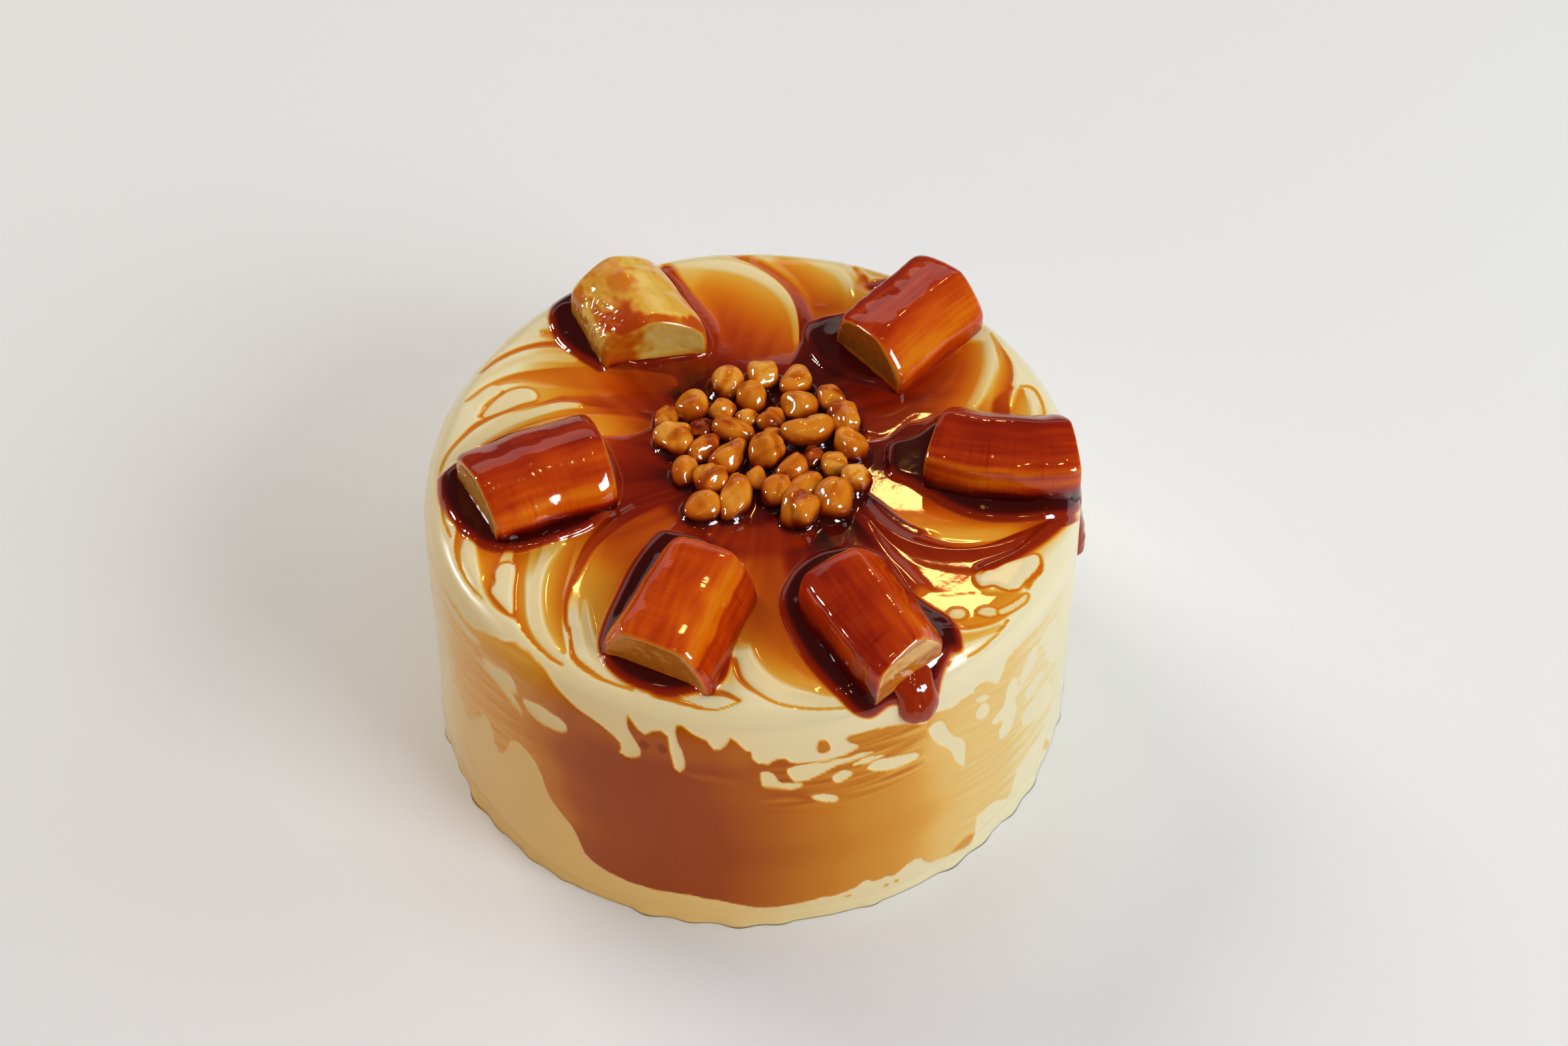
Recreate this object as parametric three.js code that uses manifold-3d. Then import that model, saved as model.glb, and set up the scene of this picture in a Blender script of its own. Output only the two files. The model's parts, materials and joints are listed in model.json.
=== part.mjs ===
// A tall round banana cake: a cream-coated body under poured caramel, six half-logs of
// caramelised banana set round the top like spokes, and a heap of caramelised nuts in the middle.
//
// Millimetres, +Z up. The origin is the middle of the flat underside. -Y is the front of the cake.

import * as THREE from "three";
import { mergeVertices } from "three/addons/utils/BufferGeometryUtils.js";
import Module from "manifold-3d";

// ---- driving dimensions ----

const CAKE_HEIGHT = 99; // underside to the flat of the top
const TOP_RADIUS = 103.6; // side of the cake just under its rim
const FOOT_RADIUS = 106.2; // side of the cake where it stands
const TOP_SHIFT = 1; // how far the top has slid to +X, and the foot to -X
const RIM_FILLET = 11; // rounding from the side to the top
const GAP = 0.3; // clearance between pieces that touch
const AROUND = 96; // steps round the cake
const CREST_HEIGHT = 1.7; // the swirl's crests above the flat of the top
const POOL_DEPTH = 1.6; // caramel lying round each piece of banana
const BANANA_HEIGHT = 18; // a halved banana lying on its cut side
const NUT_SINK = 0.55; // how far a nut's widest level lies above the caramel, in its half heights

const COLOURS = {
  cream: 0xe6dbae,
  caramel: 0x8f2a06,
  glazedBanana: 0xa8330a,
  paleBanana: 0xe0b24c,
  nut: 0xc46f1e,
};

// Pieces of banana, each from the middle of its inner end to the middle of its outer end.
// bend is the arc of the banana's own curve in degrees, positive with the hollow side on the left
// when looking outwards, pool is [reach beyond the ends, reach beyond the sides, shift out, shift left].
const BANANAS = [
  { inner: [59, 0.5], outer: [101, -4.5], width: 32, bend: 30, pool: [4.5, 6, 0.5, -4.5] },
  { inner: [39, 44.5], outer: [65.5, 72.5], width: 30, bend: -8, pool: [5, 4, -5, 0] },
  { inner: [-30, 49], outer: [-45, 78.5], width: 33, bend: 6, pool: [2.5, 4.5, -1.5, 3] },
  { inner: [-48.4, -2.3], outer: [-84, -18], width: 32, bend: 8, pool: [5.5, 4.5, 4, 4] },
  { inner: [-12, -48], outer: [-28, -87], width: 33, bend: 5, pool: [4, 4, 3, -1.5] },
  { inner: [28, -53], outer: [47.5, -89.5], width: 30, bend: 6, pool: [2, 6, 1, -1.5] },
];
const PALE_BANANA = 2;

// Crests of the swirled cream, each a curve through a few points from the inside outwards, and its
// half width.
const CRESTS = [
  { line: [[-56, 27], [-75, 22], [-92, 12]], half: 5 },
  { line: [[-58, 50], [-74, 48], [-86, 42]], half: 5 },
  { line: [[15, 52], [8, 80], [-8, 91], [-32, 88]], half: 7 },
  { line: [[38, 77], [30, 88], [18, 94]], half: 6 },
  { line: [[72, 25], [81, 42], [79, 58]], half: 6 },
  { line: [[48, -28], [68, -30], [90, -24]], half: 6 },
  { line: [[66, -50], [82, -46], [93, -38]], half: 6 },
  { line: [[-1, -72], [10, -91], [30, -97]], half: 6 },
  { line: [[-57, -36], [-66, -55], [-57, -77]], half: 6 },
  { line: [[-42, -36], [-49, -55], [-45, -78]], half: 5 },
  { line: [[-86, -33], [-84, -48], [-74, -63]], half: 5 },
];

// Nuts: middle x and y, length, breadth, height, turn in degrees, and lift of those that ride on
// others. A bow makes the curved cashew.
const NUTS = [
  [-6.5, 31.8, 11.5, 9.6, 9.5, 75, 0],
  [4.1, 33.5, 11, 9.2, 9, 95, 0],
  [14.9, 32.1, 10, 9.4, 8.4, 10, 0],
  [1, 25.2, 10.4, 9.6, 9, 120, 0.5],
  [-17.9, 21, 10.8, 10, 9.6, 100, 0.8],
  [-8.8, 20.4, 8.6, 8, 7, 150, 0],
  [26.3, 24.9, 9.8, 7.4, 8, 110, 0],
  [15.6, 20.6, 11, 10.4, 8.6, 20, 0],
  [7.1, 16.4, 9.8, 7, 7.6, 60, 0],
  [-0.9, 16.2, 7.2, 6.2, 6.2, 30, 0],
  [30.4, 14, 11.4, 9.2, 9, 100, 0],
  [-25.6, 17.2, 8.4, 6.6, 6.4, 80, 0],
  [-22.9, 7.7, 12.4, 11, 10, 105, 0.6],
  [-13.8, 12.4, 8.2, 7.2, 6, 40, 0],
  [-4.3, 10.4, 13.6, 9.2, 8.6, -38, 1],
  [17.9, 9.1, 17, 9.6, 9.4, 4, 2.4],
  [-14, 3.5, 11, 8.2, 8, 55, 0],
  [-5.1, 0.4, 13.4, 9.6, 9, 50, 0.6],
  [4.6, -0.4, 12, 11.2, 10.4, 80, 0.8],
  [31, 3, 12.2, 9.4, 9.4, 125, 0.5],
  [14, -5.7, 10.8, 8.4, 8.6, 70, 0.4],
  [21, -3, 8, 6.6, 6, 80, 0],
  [26.2, -4.6, 9, 7.4, 7, 100, 0],
  [30.8, -9.4, 9.6, 8, 8.4, 80, 0.9],
  [-18.6, -6.6, 9.8, 8, 7.6, 80, 0],
  [-11.4, -9.5, 11, 9.8, 9.4, 100, 1],
  [-3.4, -16.8, 15.6, 8.4, 8.4, 72, 0.8],
  [2.9, -11.6, 9, 6, 6.6, 90, 0],
  [8.6, -13.7, 11, 9, 8.6, 100, 0.4],
  [17.9, -12.9, 10.4, 8, 7.6, 35, 0],
  [-13.4, -20.8, 10.8, 9.6, 8.4, 10, 0.3],
  [14.9, -23.4, 11.2, 10.6, 9.4, 60, 0.5],
  [26.3, -19, 12.6, 11, 9.8, 75, 0.5],
  [8.4, 8.6, 6.4, 5.4, 5.4, 0, 0],
];
const CASHEW = 15;
const CASHEW_BOW = 2.6; // how far the cashew's ends bend back from its middle

// Drips of caramel that hang over the rim: direction in degrees from +X, width, thickness, level of
// the tip, and how far in from the rim they start.
const DRIPS = [
  { turn: -61, width: 11.5, thick: 3.4, tip: 85, start: 14 },
  { turn: -9, width: 8, thick: 3.4, tip: 70, start: 12 },
];

const wasm = await Module();
wasm.setup();

// ---- shaping helpers ----

const { sin, cos, abs, max, min, hypot, sign, PI } = Math;
const lerp = THREE.MathUtils.lerp;
const smooth = THREE.MathUtils.smoothstep;
const radians = THREE.MathUtils.degToRad;

// A closed surface through a stack of rings, each a list of [x, y, z] that runs anticlockwise seen
// from the far end of the stack, with both ends closed by a fan from the ring's own middle.
function loft(rings) {
  const count = rings[0].length;
  const points = rings.flat();
  const faces = [];
  for (let i = 0; i + 1 < rings.length; i++) {
    for (let j = 0; j < count; j++) {
      const k = (j + 1) % count;
      const [a, b, c, d] = [i * count + j, i * count + k, (i + 1) * count + k, (i + 1) * count + j];
      faces.push(a, b, c, a, c, d);
    }
  }
  const middle = (ring) => [0, 1, 2].map((axis) => ring.reduce((sum, p) => sum + p[axis], 0) / count);
  const first = points.push(middle(rings[0])) - 1;
  const last = points.push(middle(rings.at(-1))) - 1;
  const base = (rings.length - 1) * count;
  for (let j = 0; j < count; j++) {
    const k = (j + 1) % count;
    faces.push(first, k, j, last, base + j, base + k);
  }
  const geometry = new THREE.BufferGeometry();
  geometry.setAttribute("position", new THREE.Float32BufferAttribute(points.flat(), 3));
  geometry.setIndex(faces);
  return geometry;
}

function toSolid(geometry) {
  const merged = mergeVertices(geometry, 1e-4);
  const vertProperties = merged.attributes.position.array;
  const triVerts = new Uint32Array(merged.index.array);
  return new wasm.Manifold(new wasm.Mesh({ numProp: 3, vertProperties, triVerts }));
}

function toGeometry(solid) {
  const mesh = solid.getMesh();
  const geometry = new THREE.BufferGeometry();
  geometry.setAttribute("position", new THREE.BufferAttribute(mesh.vertProperties, 3));
  geometry.setIndex(new THREE.BufferAttribute(mesh.triVerts, 1));
  return geometry;
}

function named(name, geometry, color, roughness) {
  geometry.computeVertexNormals();
  const material = new THREE.MeshStandardMaterial({ color, roughness, metalness: 0 });
  const mesh = new THREE.Mesh(geometry, material);
  mesh.name = name;
  return mesh;
}

// ---- the bananas' place on the cake ----

// Everything the other pieces need to know of a banana: its length, its heading and the point
// that lies a share along it and so far to its left.
function layOut(banana) {
  const [ax, ay] = banana.inner;
  const [bx, by] = banana.outer;
  const length = hypot(bx - ax, by - ay);
  const along = [(bx - ax) / length, (by - ay) / length];
  const left = [-along[1], along[0]];
  const sagitta = (length * radians(banana.bend)) / 8;
  const at = (share, aside) => {
    const bow = -4 * sagitta * share * (1 - share);
    const lean = radians(banana.bend) * (share - 0.5);
    const forward = share * length - aside * sin(lean);
    const across = bow + aside * cos(lean);
    return [
      ax + along[0] * forward + left[0] * across,
      ay + along[1] * forward + left[1] * across,
    ];
  };
  return { ...banana, length, along, left, at };
}

const laid = BANANAS.map(layOut);

// How far a point is outside the nearest banana's footprint, 0 inside it.
function clearOfBananas(x, y) {
  let nearest = Infinity;
  for (const banana of laid) {
    const [mx, my] = banana.at(0.5, 0);
    const forward = (x - mx) * banana.along[0] + (y - my) * banana.along[1];
    const aside = (x - mx) * banana.left[0] + (y - my) * banana.left[1];
    const beyond = hypot(max(abs(forward) - banana.length / 2, 0), max(abs(aside) - banana.width / 2, 0));
    nearest = min(nearest, beyond);
  }
  return nearest;
}

// ---- cake body ----

const crestCurves = CRESTS.map(({ line, half }) => {
  const curve = new THREE.CatmullRomCurve3(line.map(([x, y]) => new THREE.Vector3(x, y, 0)));
  return { points: curve.getPoints(24), half };
});

// Height of the swirled cream above the flat of the top. A crest is highest along its line, falls
// off to both sides and fades at both ends, and the swirl dies out under bananas and nuts.
function swirl(x, y) {
  let height = 0;
  for (const { points, half } of crestCurves) {
    points.forEach((p, i) => {
      const share = i / (points.length - 1);
      const fade = sin(PI * lerp(0.18, 0.82, share)) ** 2;
      const reach = hypot(x - p.x, y - p.y) / half;
      height = max(height, fade * CREST_HEIGHT * max(0, 1 - reach * reach));
    });
  }
  const clear = smooth(clearOfBananas(x, y), 2, 7);
  return height * clear * smooth(hypot(x - 4, y - 3), 36, 44);
}

// The side leans in a little towards the top and is as uneven as poured icing.
function sideRadius(turn, level) {
  const share = level / CAKE_HEIGHT;
  const lean = lerp(FOOT_RADIUS, TOP_RADIUS, share);
  const slide = lerp(-TOP_SHIFT, TOP_SHIFT, share) * cos(turn);
  const belly = 0.9 * max(0, -sin(turn)) * (1 - share);
  const uneven = 0.3 * sin(3 * turn + 1.2) + 0.25 * sin(5 * turn + 4 * share) + 0.15 * cos(11 * turn - 7 * share);
  return lean + slide + belly + uneven;
}

function footFlare(turn, level) {
  const lobes = 0.5 + 0.3 * sin(9 * turn + 0.7) + 0.2 * sin(23 * turn);
  return 1.4 * lobes * max(0, 1 - level / 7);
}

function ringAt(radiusOf, levelOf) {
  const ring = [];
  for (let j = 0; j < AROUND; j++) {
    const turn = (j / AROUND) * 2 * PI;
    const radius = radiusOf(turn);
    const [x, y] = [radius * cos(turn), radius * sin(turn)];
    ring.push([x, y, levelOf(x, y, turn)]);
  }
  return ring;
}

function bareBody() {
  const rings = [];
  for (const level of [0, 2, 5, 12, 26, 42, 58, 72, CAKE_HEIGHT - RIM_FILLET]) {
    const radiusOf = (turn) => sideRadius(turn, level) + footFlare(turn, level);
    rings.push(ringAt(radiusOf, () => level));
  }
  const filletSteps = 5;
  for (let i = 1; i <= filletSteps; i++) {
    const bow = (i / filletSteps) * (PI / 2);
    const level = CAKE_HEIGHT - RIM_FILLET * (1 - sin(bow));
    const radiusOf = (turn) => sideRadius(turn, CAKE_HEIGHT - RIM_FILLET) - RIM_FILLET * (1 - cos(bow));
    rings.push(ringAt(radiusOf, (x, y) => level + swirl(x, y) * sin(bow) ** 4));
  }
  const rimInner = TOP_RADIUS - RIM_FILLET;
  for (const share of [0.94, 0.88, 0.82, 0.76, 0.7, 0.64, 0.58, 0.52, 0.45, 0.3]) {
    rings.push(ringAt(() => share * rimInner, (x, y) => CAKE_HEIGHT + swirl(x, y)));
  }
  return toSolid(loft(rings));
}

// The outline that lies a little outside a banana, as a prism from level to level.
function footprintPrism(banana, margin, bottom, top) {
  const steps = 8;
  const reach = margin / banana.length;
  const half = banana.width / 2 + margin;
  const outline = [];
  for (let i = 0; i <= steps; i++) outline.push(banana.at(lerp(-reach, 1 + reach, i / steps), -half));
  for (let i = steps; i >= 0; i--) outline.push(banana.at(lerp(-reach, 1 + reach, i / steps), half));
  return toSolid(loft([bottom, top].map((z) => outline.map(([x, y]) => [x, y, z]))));
}

// A low pad of caramel round a banana: a rounded oblong with a sloping edge.
function poolPad(banana) {
  const [beyondEnds, beyondSides, shiftOut, shiftLeft] = banana.pool;
  const steps = 28;
  const [mx, my] = banana.at(0.5, 0);
  const levels = [
    [0, -1],
    [0, 0.05],
    [0.9, 0.6 * POOL_DEPTH],
    [2.4, POOL_DEPTH],
  ];
  const rings = levels.map(([inset, height]) => {
    const halfLong = banana.length / 2 + beyondEnds - inset;
    const halfWide = banana.width / 2 + beyondSides - inset;
    const ring = [];
    for (let j = 0; j < steps; j++) {
      const turn = (j / steps) * 2 * PI;
      const forward = halfLong * sign(cos(turn)) * abs(cos(turn)) ** 0.55 + shiftOut;
      const aside = halfWide * sign(sin(turn)) * abs(sin(turn)) ** 0.55 + shiftLeft;
      const x = mx + banana.along[0] * forward + banana.left[0] * aside;
      const y = my + banana.along[1] * forward + banana.left[1] * aside;
      const spill = max(0, hypot(x, y) - (TOP_RADIUS - RIM_FILLET + 4));
      const squeeze = 1 - spill / hypot(x, y);
      ring.push([x * squeeze, y * squeeze, CAKE_HEIGHT + height]);
    }
    return ring;
  });
  return toSolid(loft(rings));
}

// A drip runs out over the rim and down the side, widest just above its round tip.
function drip({ turn, width, thick, tip, start }) {
  const around = 10;
  const direction = radians(turn);
  const radial = [cos(direction), sin(direction)];
  const aside = [-radial[1], radial[0]];
  const shoulder = CAKE_HEIGHT - RIM_FILLET;
  const side = sideRadius(direction, shoulder);
  const flat = start - RIM_FILLET;
  const bend = (RIM_FILLET * PI) / 2;
  const total = flat + bend + shoulder - tip;
  // Distance from the axis, level, and how far outwards and upwards the surface faces.
  const pathAt = (distance) => {
    if (distance <= flat) return [side - start + distance, CAKE_HEIGHT, 0, 1];
    if (distance >= flat + bend) return [side, shoulder - (distance - flat - bend), 1, 0];
    const bow = (distance - flat) / RIM_FILLET;
    return [side - RIM_FILLET * (1 - sin(bow)), shoulder + RIM_FILLET * cos(bow), sin(bow), cos(bow)];
  };
  const rings = [0, 0.12, 0.3, 0.48, 0.64, 0.76, 0.85, 0.92, 0.97, 1].map((share) => {
    const [out, level, outward, upward] = pathAt(share * total);
    const toTip = min(1, (2 * (1 - share) * total) / width);
    const swell = lerp(0.6, 1, smooth(share, 0.3, 0.75)) * max(0.15, (1 - (1 - toTip) ** 2) ** 0.5);
    const ring = [];
    for (let j = 0; j < around; j++) {
      const angle = (j / around) * 2 * PI;
      const across = 0.5 * width * swell * cos(angle);
      const rise = thick * swell * sin(angle);
      ring.push([
        (out + rise * outward) * radial[0] + across * aside[0],
        (out + rise * outward) * radial[1] + across * aside[1],
        level + rise * upward,
      ]);
    }
    return ring;
  });
  const solid = toSolid(loft(rings));
  return solid.volume() < 0 ? toSolid(loft(rings.reverse())) : solid;
}

function cakeBody() {
  let solid = bareBody();
  for (const banana of laid) solid = solid.add(poolPad(banana));
  for (const spec of DRIPS) solid = solid.add(drip(spec));
  for (const banana of laid) {
    const pocket = footprintPrism(banana, 2 * GAP, CAKE_HEIGHT - GAP / 3, CAKE_HEIGHT + 2 * BANANA_HEIGHT);
    solid = solid.subtract(pocket);
  }
  return named("cake_body", toGeometry(solid), COLOURS.cream, 0.25);
}

// ---- bananas ----

// Half-log section: a flat underside and an arch with three soft facets, from its right foot over
// the top to its left foot.
function archPoint(share, width, height) {
  const angle = lerp(-0.06, 1.06, share) * PI;
  const facet = abs(sin(2.5 * angle - 0.4));
  const swell = 1.01 - 0.05 * facet;
  const power = 0.86;
  const aside = -(width / 2) * sign(cos(angle)) * abs(cos(angle)) ** power * swell;
  const rise = height * sign(sin(angle)) * abs(sin(angle)) ** power * swell;
  return [-aside, max(rise, 0)];
}

function bananaPiece(banana, index) {
  const archSteps = 14;
  const stations = [0, 0.035, 0.1, 0.25, 0.42, 0.6, 0.76, 0.9, 0.965, 1];
  const rings = stations.map((share) => {
    const endward = 2 * abs(share - 0.5);
    const rounding = 1 - 0.1 * smooth(endward, 0.78, 1) ** 3;
    const uneven = 1 + 0.02 * sin(5.1 * share + 2.3 * index);
    const ring = [];
    for (let j = 0; j <= archSteps; j++) {
      const [aside, rise] = archPoint(j / archSteps, banana.width, BANANA_HEIGHT);
      const [x, y] = banana.at(share, aside * rounding);
      ring.push([x, y, CAKE_HEIGHT + GAP + rise * rounding * uneven]);
    }
    return ring;
  });
  const geometry = loft(rings);
  const solid = toSolid(geometry);
  const outward = solid.volume() < 0 ? loft(rings.reverse()) : geometry;
  const color = index === PALE_BANANA ? COLOURS.paleBanana : COLOURS.glazedBanana;
  return named(`banana_${index + 1}`, outward, color, 0.2);
}

// ---- nuts ----

const nuts = NUTS.map(([x, y, length, breadth, height, turn, lift], index) => ({
  middle: new THREE.Vector3(x, y, CAKE_HEIGHT + GAP + lift + (NUT_SINK * height) / 2),
  half: [length / 2, breadth / 2, height / 2],
  turn: radians(turn),
  bow: index === CASHEW ? CASHEW_BOW : 0,
}));

// How far a nut reaches from its middle in a direction.
function reachOf(nut, direction) {
  const forward = direction.x * cos(nut.turn) + direction.y * sin(nut.turn);
  const aside = direction.y * cos(nut.turn) - direction.x * sin(nut.turn);
  const [a, b, c] = nut.half;
  return 1 / hypot(forward / a, aside / b, direction.z / c) + 0.4 * nut.bow * abs(aside);
}

// Nuts that touch are pushed apart until each pair has its clearance.
function settle() {
  for (let pass = 0; pass < 120; pass++) {
    nuts.forEach((one, i) => {
      nuts.slice(i + 1).forEach((other) => {
        const between = other.middle.clone().sub(one.middle);
        const distance = between.length();
        between.normalize();
        const lack = reachOf(one, between) + reachOf(other, between) + GAP - distance;
        if (lack <= 0) return;
        between.z = 0;
        one.middle.addScaledVector(between, -lack / 2);
        other.middle.addScaledVector(between, lack / 2);
      });
    });
  }
}

function nutPiece(nut, index) {
  const around = 12;
  const levels = 5;
  const floor = CAKE_HEIGHT + GAP;
  const lowest = Math.asin(max(-0.8, (floor - nut.middle.z) / nut.half[2]));
  const [a, b, c] = nut.half;
  const rings = [];
  for (let i = 0; i < levels; i++) {
    const slope = lerp(lowest, 1.3, i / (levels - 1));
    const ring = [];
    for (let j = 0; j < around; j++) {
      const angle = (j / around) * 2 * PI;
      const tip = 1 - 0.08 * max(0, cos(angle)) * abs(sin(2 * angle + index));
      const forward = a * cos(slope) * cos(angle) * tip;
      const aside = b * cos(slope) * sin(angle) * tip - nut.bow * ((forward / a) ** 2 - 0.35);
      const x = nut.middle.x + forward * cos(nut.turn) - aside * sin(nut.turn);
      const y = nut.middle.y + forward * sin(nut.turn) + aside * cos(nut.turn);
      ring.push([x, y, nut.middle.z + c * sin(slope)]);
    }
    rings.push(ring);
  }
  const name = `nut_${String(index + 1).padStart(2, "0")}`;
  return named(name, loft(rings), COLOURS.nut, 0.3);
}

// ---- the cake ----

settle();
const cake = new THREE.Group();
cake.add(cakeBody());
laid.forEach((banana, index) => cake.add(bananaPiece(banana, index)));
nuts.forEach((nut, index) => cake.add(nutPiece(nut, index)));

export default cake;
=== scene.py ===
# %% [markdown]
# # Banana cake under poured caramel
#
# A tall round cake in pale cream icing. Caramel was poured over its middle and ran out over a
# swirled top; six half-logs of banana lie on it like spokes round a heap of caramelised nuts.
# Every step below explains one piece or one finish, builds it, and prints what it measured.
#
# The imported CAD is the frame: its body carries every piece, and the CAD node that a piece stands
# for is hidden. Lengths are millimetres, and one function turns them into metres.

import json
import math

import bpy
from mathutils import Matrix, Vector
import numpy as np

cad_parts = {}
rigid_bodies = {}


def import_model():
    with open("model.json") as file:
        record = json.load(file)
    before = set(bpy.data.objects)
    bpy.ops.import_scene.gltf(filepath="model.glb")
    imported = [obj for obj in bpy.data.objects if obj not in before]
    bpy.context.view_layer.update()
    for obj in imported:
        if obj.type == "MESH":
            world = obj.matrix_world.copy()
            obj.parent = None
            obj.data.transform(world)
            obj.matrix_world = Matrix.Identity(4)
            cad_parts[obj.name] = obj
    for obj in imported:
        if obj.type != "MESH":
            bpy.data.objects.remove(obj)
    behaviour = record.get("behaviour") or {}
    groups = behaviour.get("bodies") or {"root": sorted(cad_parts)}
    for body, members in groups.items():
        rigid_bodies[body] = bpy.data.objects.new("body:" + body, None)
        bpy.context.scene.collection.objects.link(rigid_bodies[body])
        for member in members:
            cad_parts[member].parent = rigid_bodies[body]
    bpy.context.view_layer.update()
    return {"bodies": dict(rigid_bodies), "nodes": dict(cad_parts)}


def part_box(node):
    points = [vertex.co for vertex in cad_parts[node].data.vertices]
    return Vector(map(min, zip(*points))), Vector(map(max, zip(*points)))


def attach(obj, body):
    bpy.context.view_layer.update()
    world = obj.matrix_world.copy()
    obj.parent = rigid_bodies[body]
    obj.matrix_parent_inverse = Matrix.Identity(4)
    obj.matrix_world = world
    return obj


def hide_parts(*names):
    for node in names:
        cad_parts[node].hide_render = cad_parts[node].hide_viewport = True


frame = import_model()
BODY = list(frame["bodies"])[0]
print("body", BODY, "with", len(frame["nodes"]), "CAD nodes")

# %% [markdown]
# ## Driving dimensions
#
# The cake is 99 mm to the flat of its top and about 207 mm across under the rim. A plain revolved
# profile would be too true: the real one widens towards its foot and its top sits a millimetre to
# one side, so a few numbers say how far it strays. The pieces on the top are listed by where they
# lie, with +X to the right and -Y towards the viewer, because a list is easy to correct one piece
# at a time.

# %% Dimensions
CAKE_HEIGHT = 99.0
TOP_RADIUS = 103.6  # just under the rim
FOOT_RADIUS = 106.2
TOP_SHIFT = 1.0  # how far the top sits towards +X, and the foot towards -X
RIM_FILLET = 11.0  # radius of the rounding between top and side
BANANA_HEIGHT = 18.0
FLOOR = CAKE_HEIGHT + 0.3  # pieces on the top stand this high, on the film of caramel
print("about", round(2 * TOP_RADIUS), "mm across and", CAKE_HEIGHT, "mm tall")

# %% Bananas and drips on the plan
# inner end, outer end, width, bend in degrees
BANANAS = [
    dict(inner=(59, 0.5), outer=(101, -4.5), width=32, bend=30),
    dict(inner=(39, 44.5), outer=(65.5, 72.5), width=30, bend=-8),
    dict(inner=(-30, 49), outer=(-45, 78.5), width=33, bend=6),
    dict(inner=(-48.4, -2.3), outer=(-84, -18), width=32, bend=8),
    dict(inner=(-12, -48), outer=(-28, -87), width=33, bend=5),
    dict(inner=(28, -53), outer=(47.5, -89.5), width=30, bend=6),
]
PALE = 2  # the piece that was left without a full glaze

# direction in degrees, width, thickness, level of the tip, how far in from the side it starts,
# then width (root) and thickness (neck) at the start as shares of the full ones
DRIPS = [
    dict(turn=-61.5, width=12.4, thick=4.6, tip=84.5, start=15, root=1.75, neck=0.66),
    dict(turn=-4, width=7.4, thick=2.7, tip=62, start=4, root=0.9, neck=0.12),
]
print(len(BANANAS), "banana pieces and", len(DRIPS), "drips")

# %% Nuts on the plan
# length, breadth, height, turn in degrees, lift; the middle is taken from the CAD node
NUTS = [
    (11.5, 9.6, 9.5, 75, 0), (11, 9.2, 9, 95, 0), (10, 9.4, 8.4, 10, 0), (10.4, 9.6, 9, 120, .5),
    (10.8, 10, 9.6, 100, .8), (8.6, 8, 7, 150, 0), (9.8, 7.4, 8, 110, 0), (11, 10.4, 8.6, 20, 0),
    (9.8, 7, 7.6, 60, 0), (7.2, 6.2, 6.2, 30, 0), (11.4, 9.2, 9, 100, 0), (8.4, 6.6, 6.4, 80, 0),
    (12.4, 11, 10, 105, .6), (8.2, 7.2, 6, 40, 0), (13.6, 9.2, 8.6, -38, 1),
    (17, 9.6, 9.4, 4, 2.4), (11, 8.2, 8, 55, 0), (13.4, 9.6, 9, 50, .6), (12, 11.2, 10.4, 80, .8),
    (12.2, 9.4, 9.4, 125, .5), (10.8, 8.4, 8.6, 70, .4), (8, 6.6, 6, 80, 0), (9, 7.4, 7, 100, 0),
    (9.6, 8, 8.4, 80, .9), (9.8, 8, 7.6, 80, 0), (11, 9.8, 9.4, 100, 1), (15.6, 8.4, 8.4, 72, .8),
    (9, 6, 6.6, 90, 0), (11, 9, 8.6, 100, .4), (10.4, 8, 7.6, 35, 0), (10.8, 9.6, 8.4, 10, .3),
    (11.2, 10.6, 9.4, 60, .5), (12.6, 11, 9.8, 75, .5), (6.4, 5.4, 5.4, 0, 0),
]
CASHEW = 15  # the kidney-shaped nut on top of the heap
print(len(NUTS), "nuts, the largest", max(length for length, *_ in NUTS), "mm long")

# %% [markdown]
# ## Grids of points
#
# Icing, caramel and fruit have no true edges or flats. They could be sculpted by hand, but a hand
# can't be rerun, so every piece is a grid of points: one ring for each row of a profile. Two small
# curves shape nearly everything, and a sum of waves gives the unevenness of handmade food.

# %% Fades and waves
def smooth(v, a, b):
    """0 below a, 1 above b, and between them 3t squared minus 2t cubed, an S without corners."""
    t = np.clip((v - a) / (b - a), 0, 1)
    return t * t * (3 - 2 * t)


def lerp(a, b, t):
    """The share t of the way from a to b."""
    return a + (b - a) * t


def fine_noise(a, b, seed, count=24, low=0.3, high=3.0):
    """Even noise around 0: the sum of sine waves in all directions over the root of their number.
    a and b are in mm, and the waves are between 1/high and 1/low mm long."""
    rng = np.random.default_rng(seed)
    total = 0 * (a + b)
    for _ in range(count):
        frequency = math.exp(rng.uniform(math.log(low), math.log(high)))
        heading = rng.uniform(0, 2 * math.pi)
        run = a * math.cos(heading) + b * math.sin(heading)
        total += np.sin(2 * math.pi * frequency * run + rng.uniform(0, 6.3))
    return total / math.sqrt(count)


print("noise spreads by", round(float(fine_noise(np.linspace(0, 500, 4000), 0.0, 1).std()), 2))

# %% [markdown]
# ## From grid to mesh
#
# A wet surface shows every fault of its shading. Blender would work the normals out for each mesh
# alone and leave a seam where two parts of the cake meet, so they come from the whole grid before
# it is cut. Each mesh also carries numbers at its points, such as how deep the caramel stands
# there, which its finish reads: unlike a picture, they follow the shape exactly.

# %% Normals
def grid_normals(points):
    """Unit normals of a grid of rings: the cross product of the steps down and across it."""
    across = np.roll(points, -1, 1) - np.roll(points, 1, 1)
    down = np.gradient(points, axis=0)
    n = np.cross(down, across)
    n /= np.maximum(np.linalg.norm(n, axis=2, keepdims=True), 1e-12)
    return n


def faces_inwards(points):
    """True where the normals, weighed by how far each point is from the middle, point inwards."""
    away = points - points.reshape(-1, 3).mean(0)
    return (grid_normals(points) * away).sum() <= 0


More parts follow.
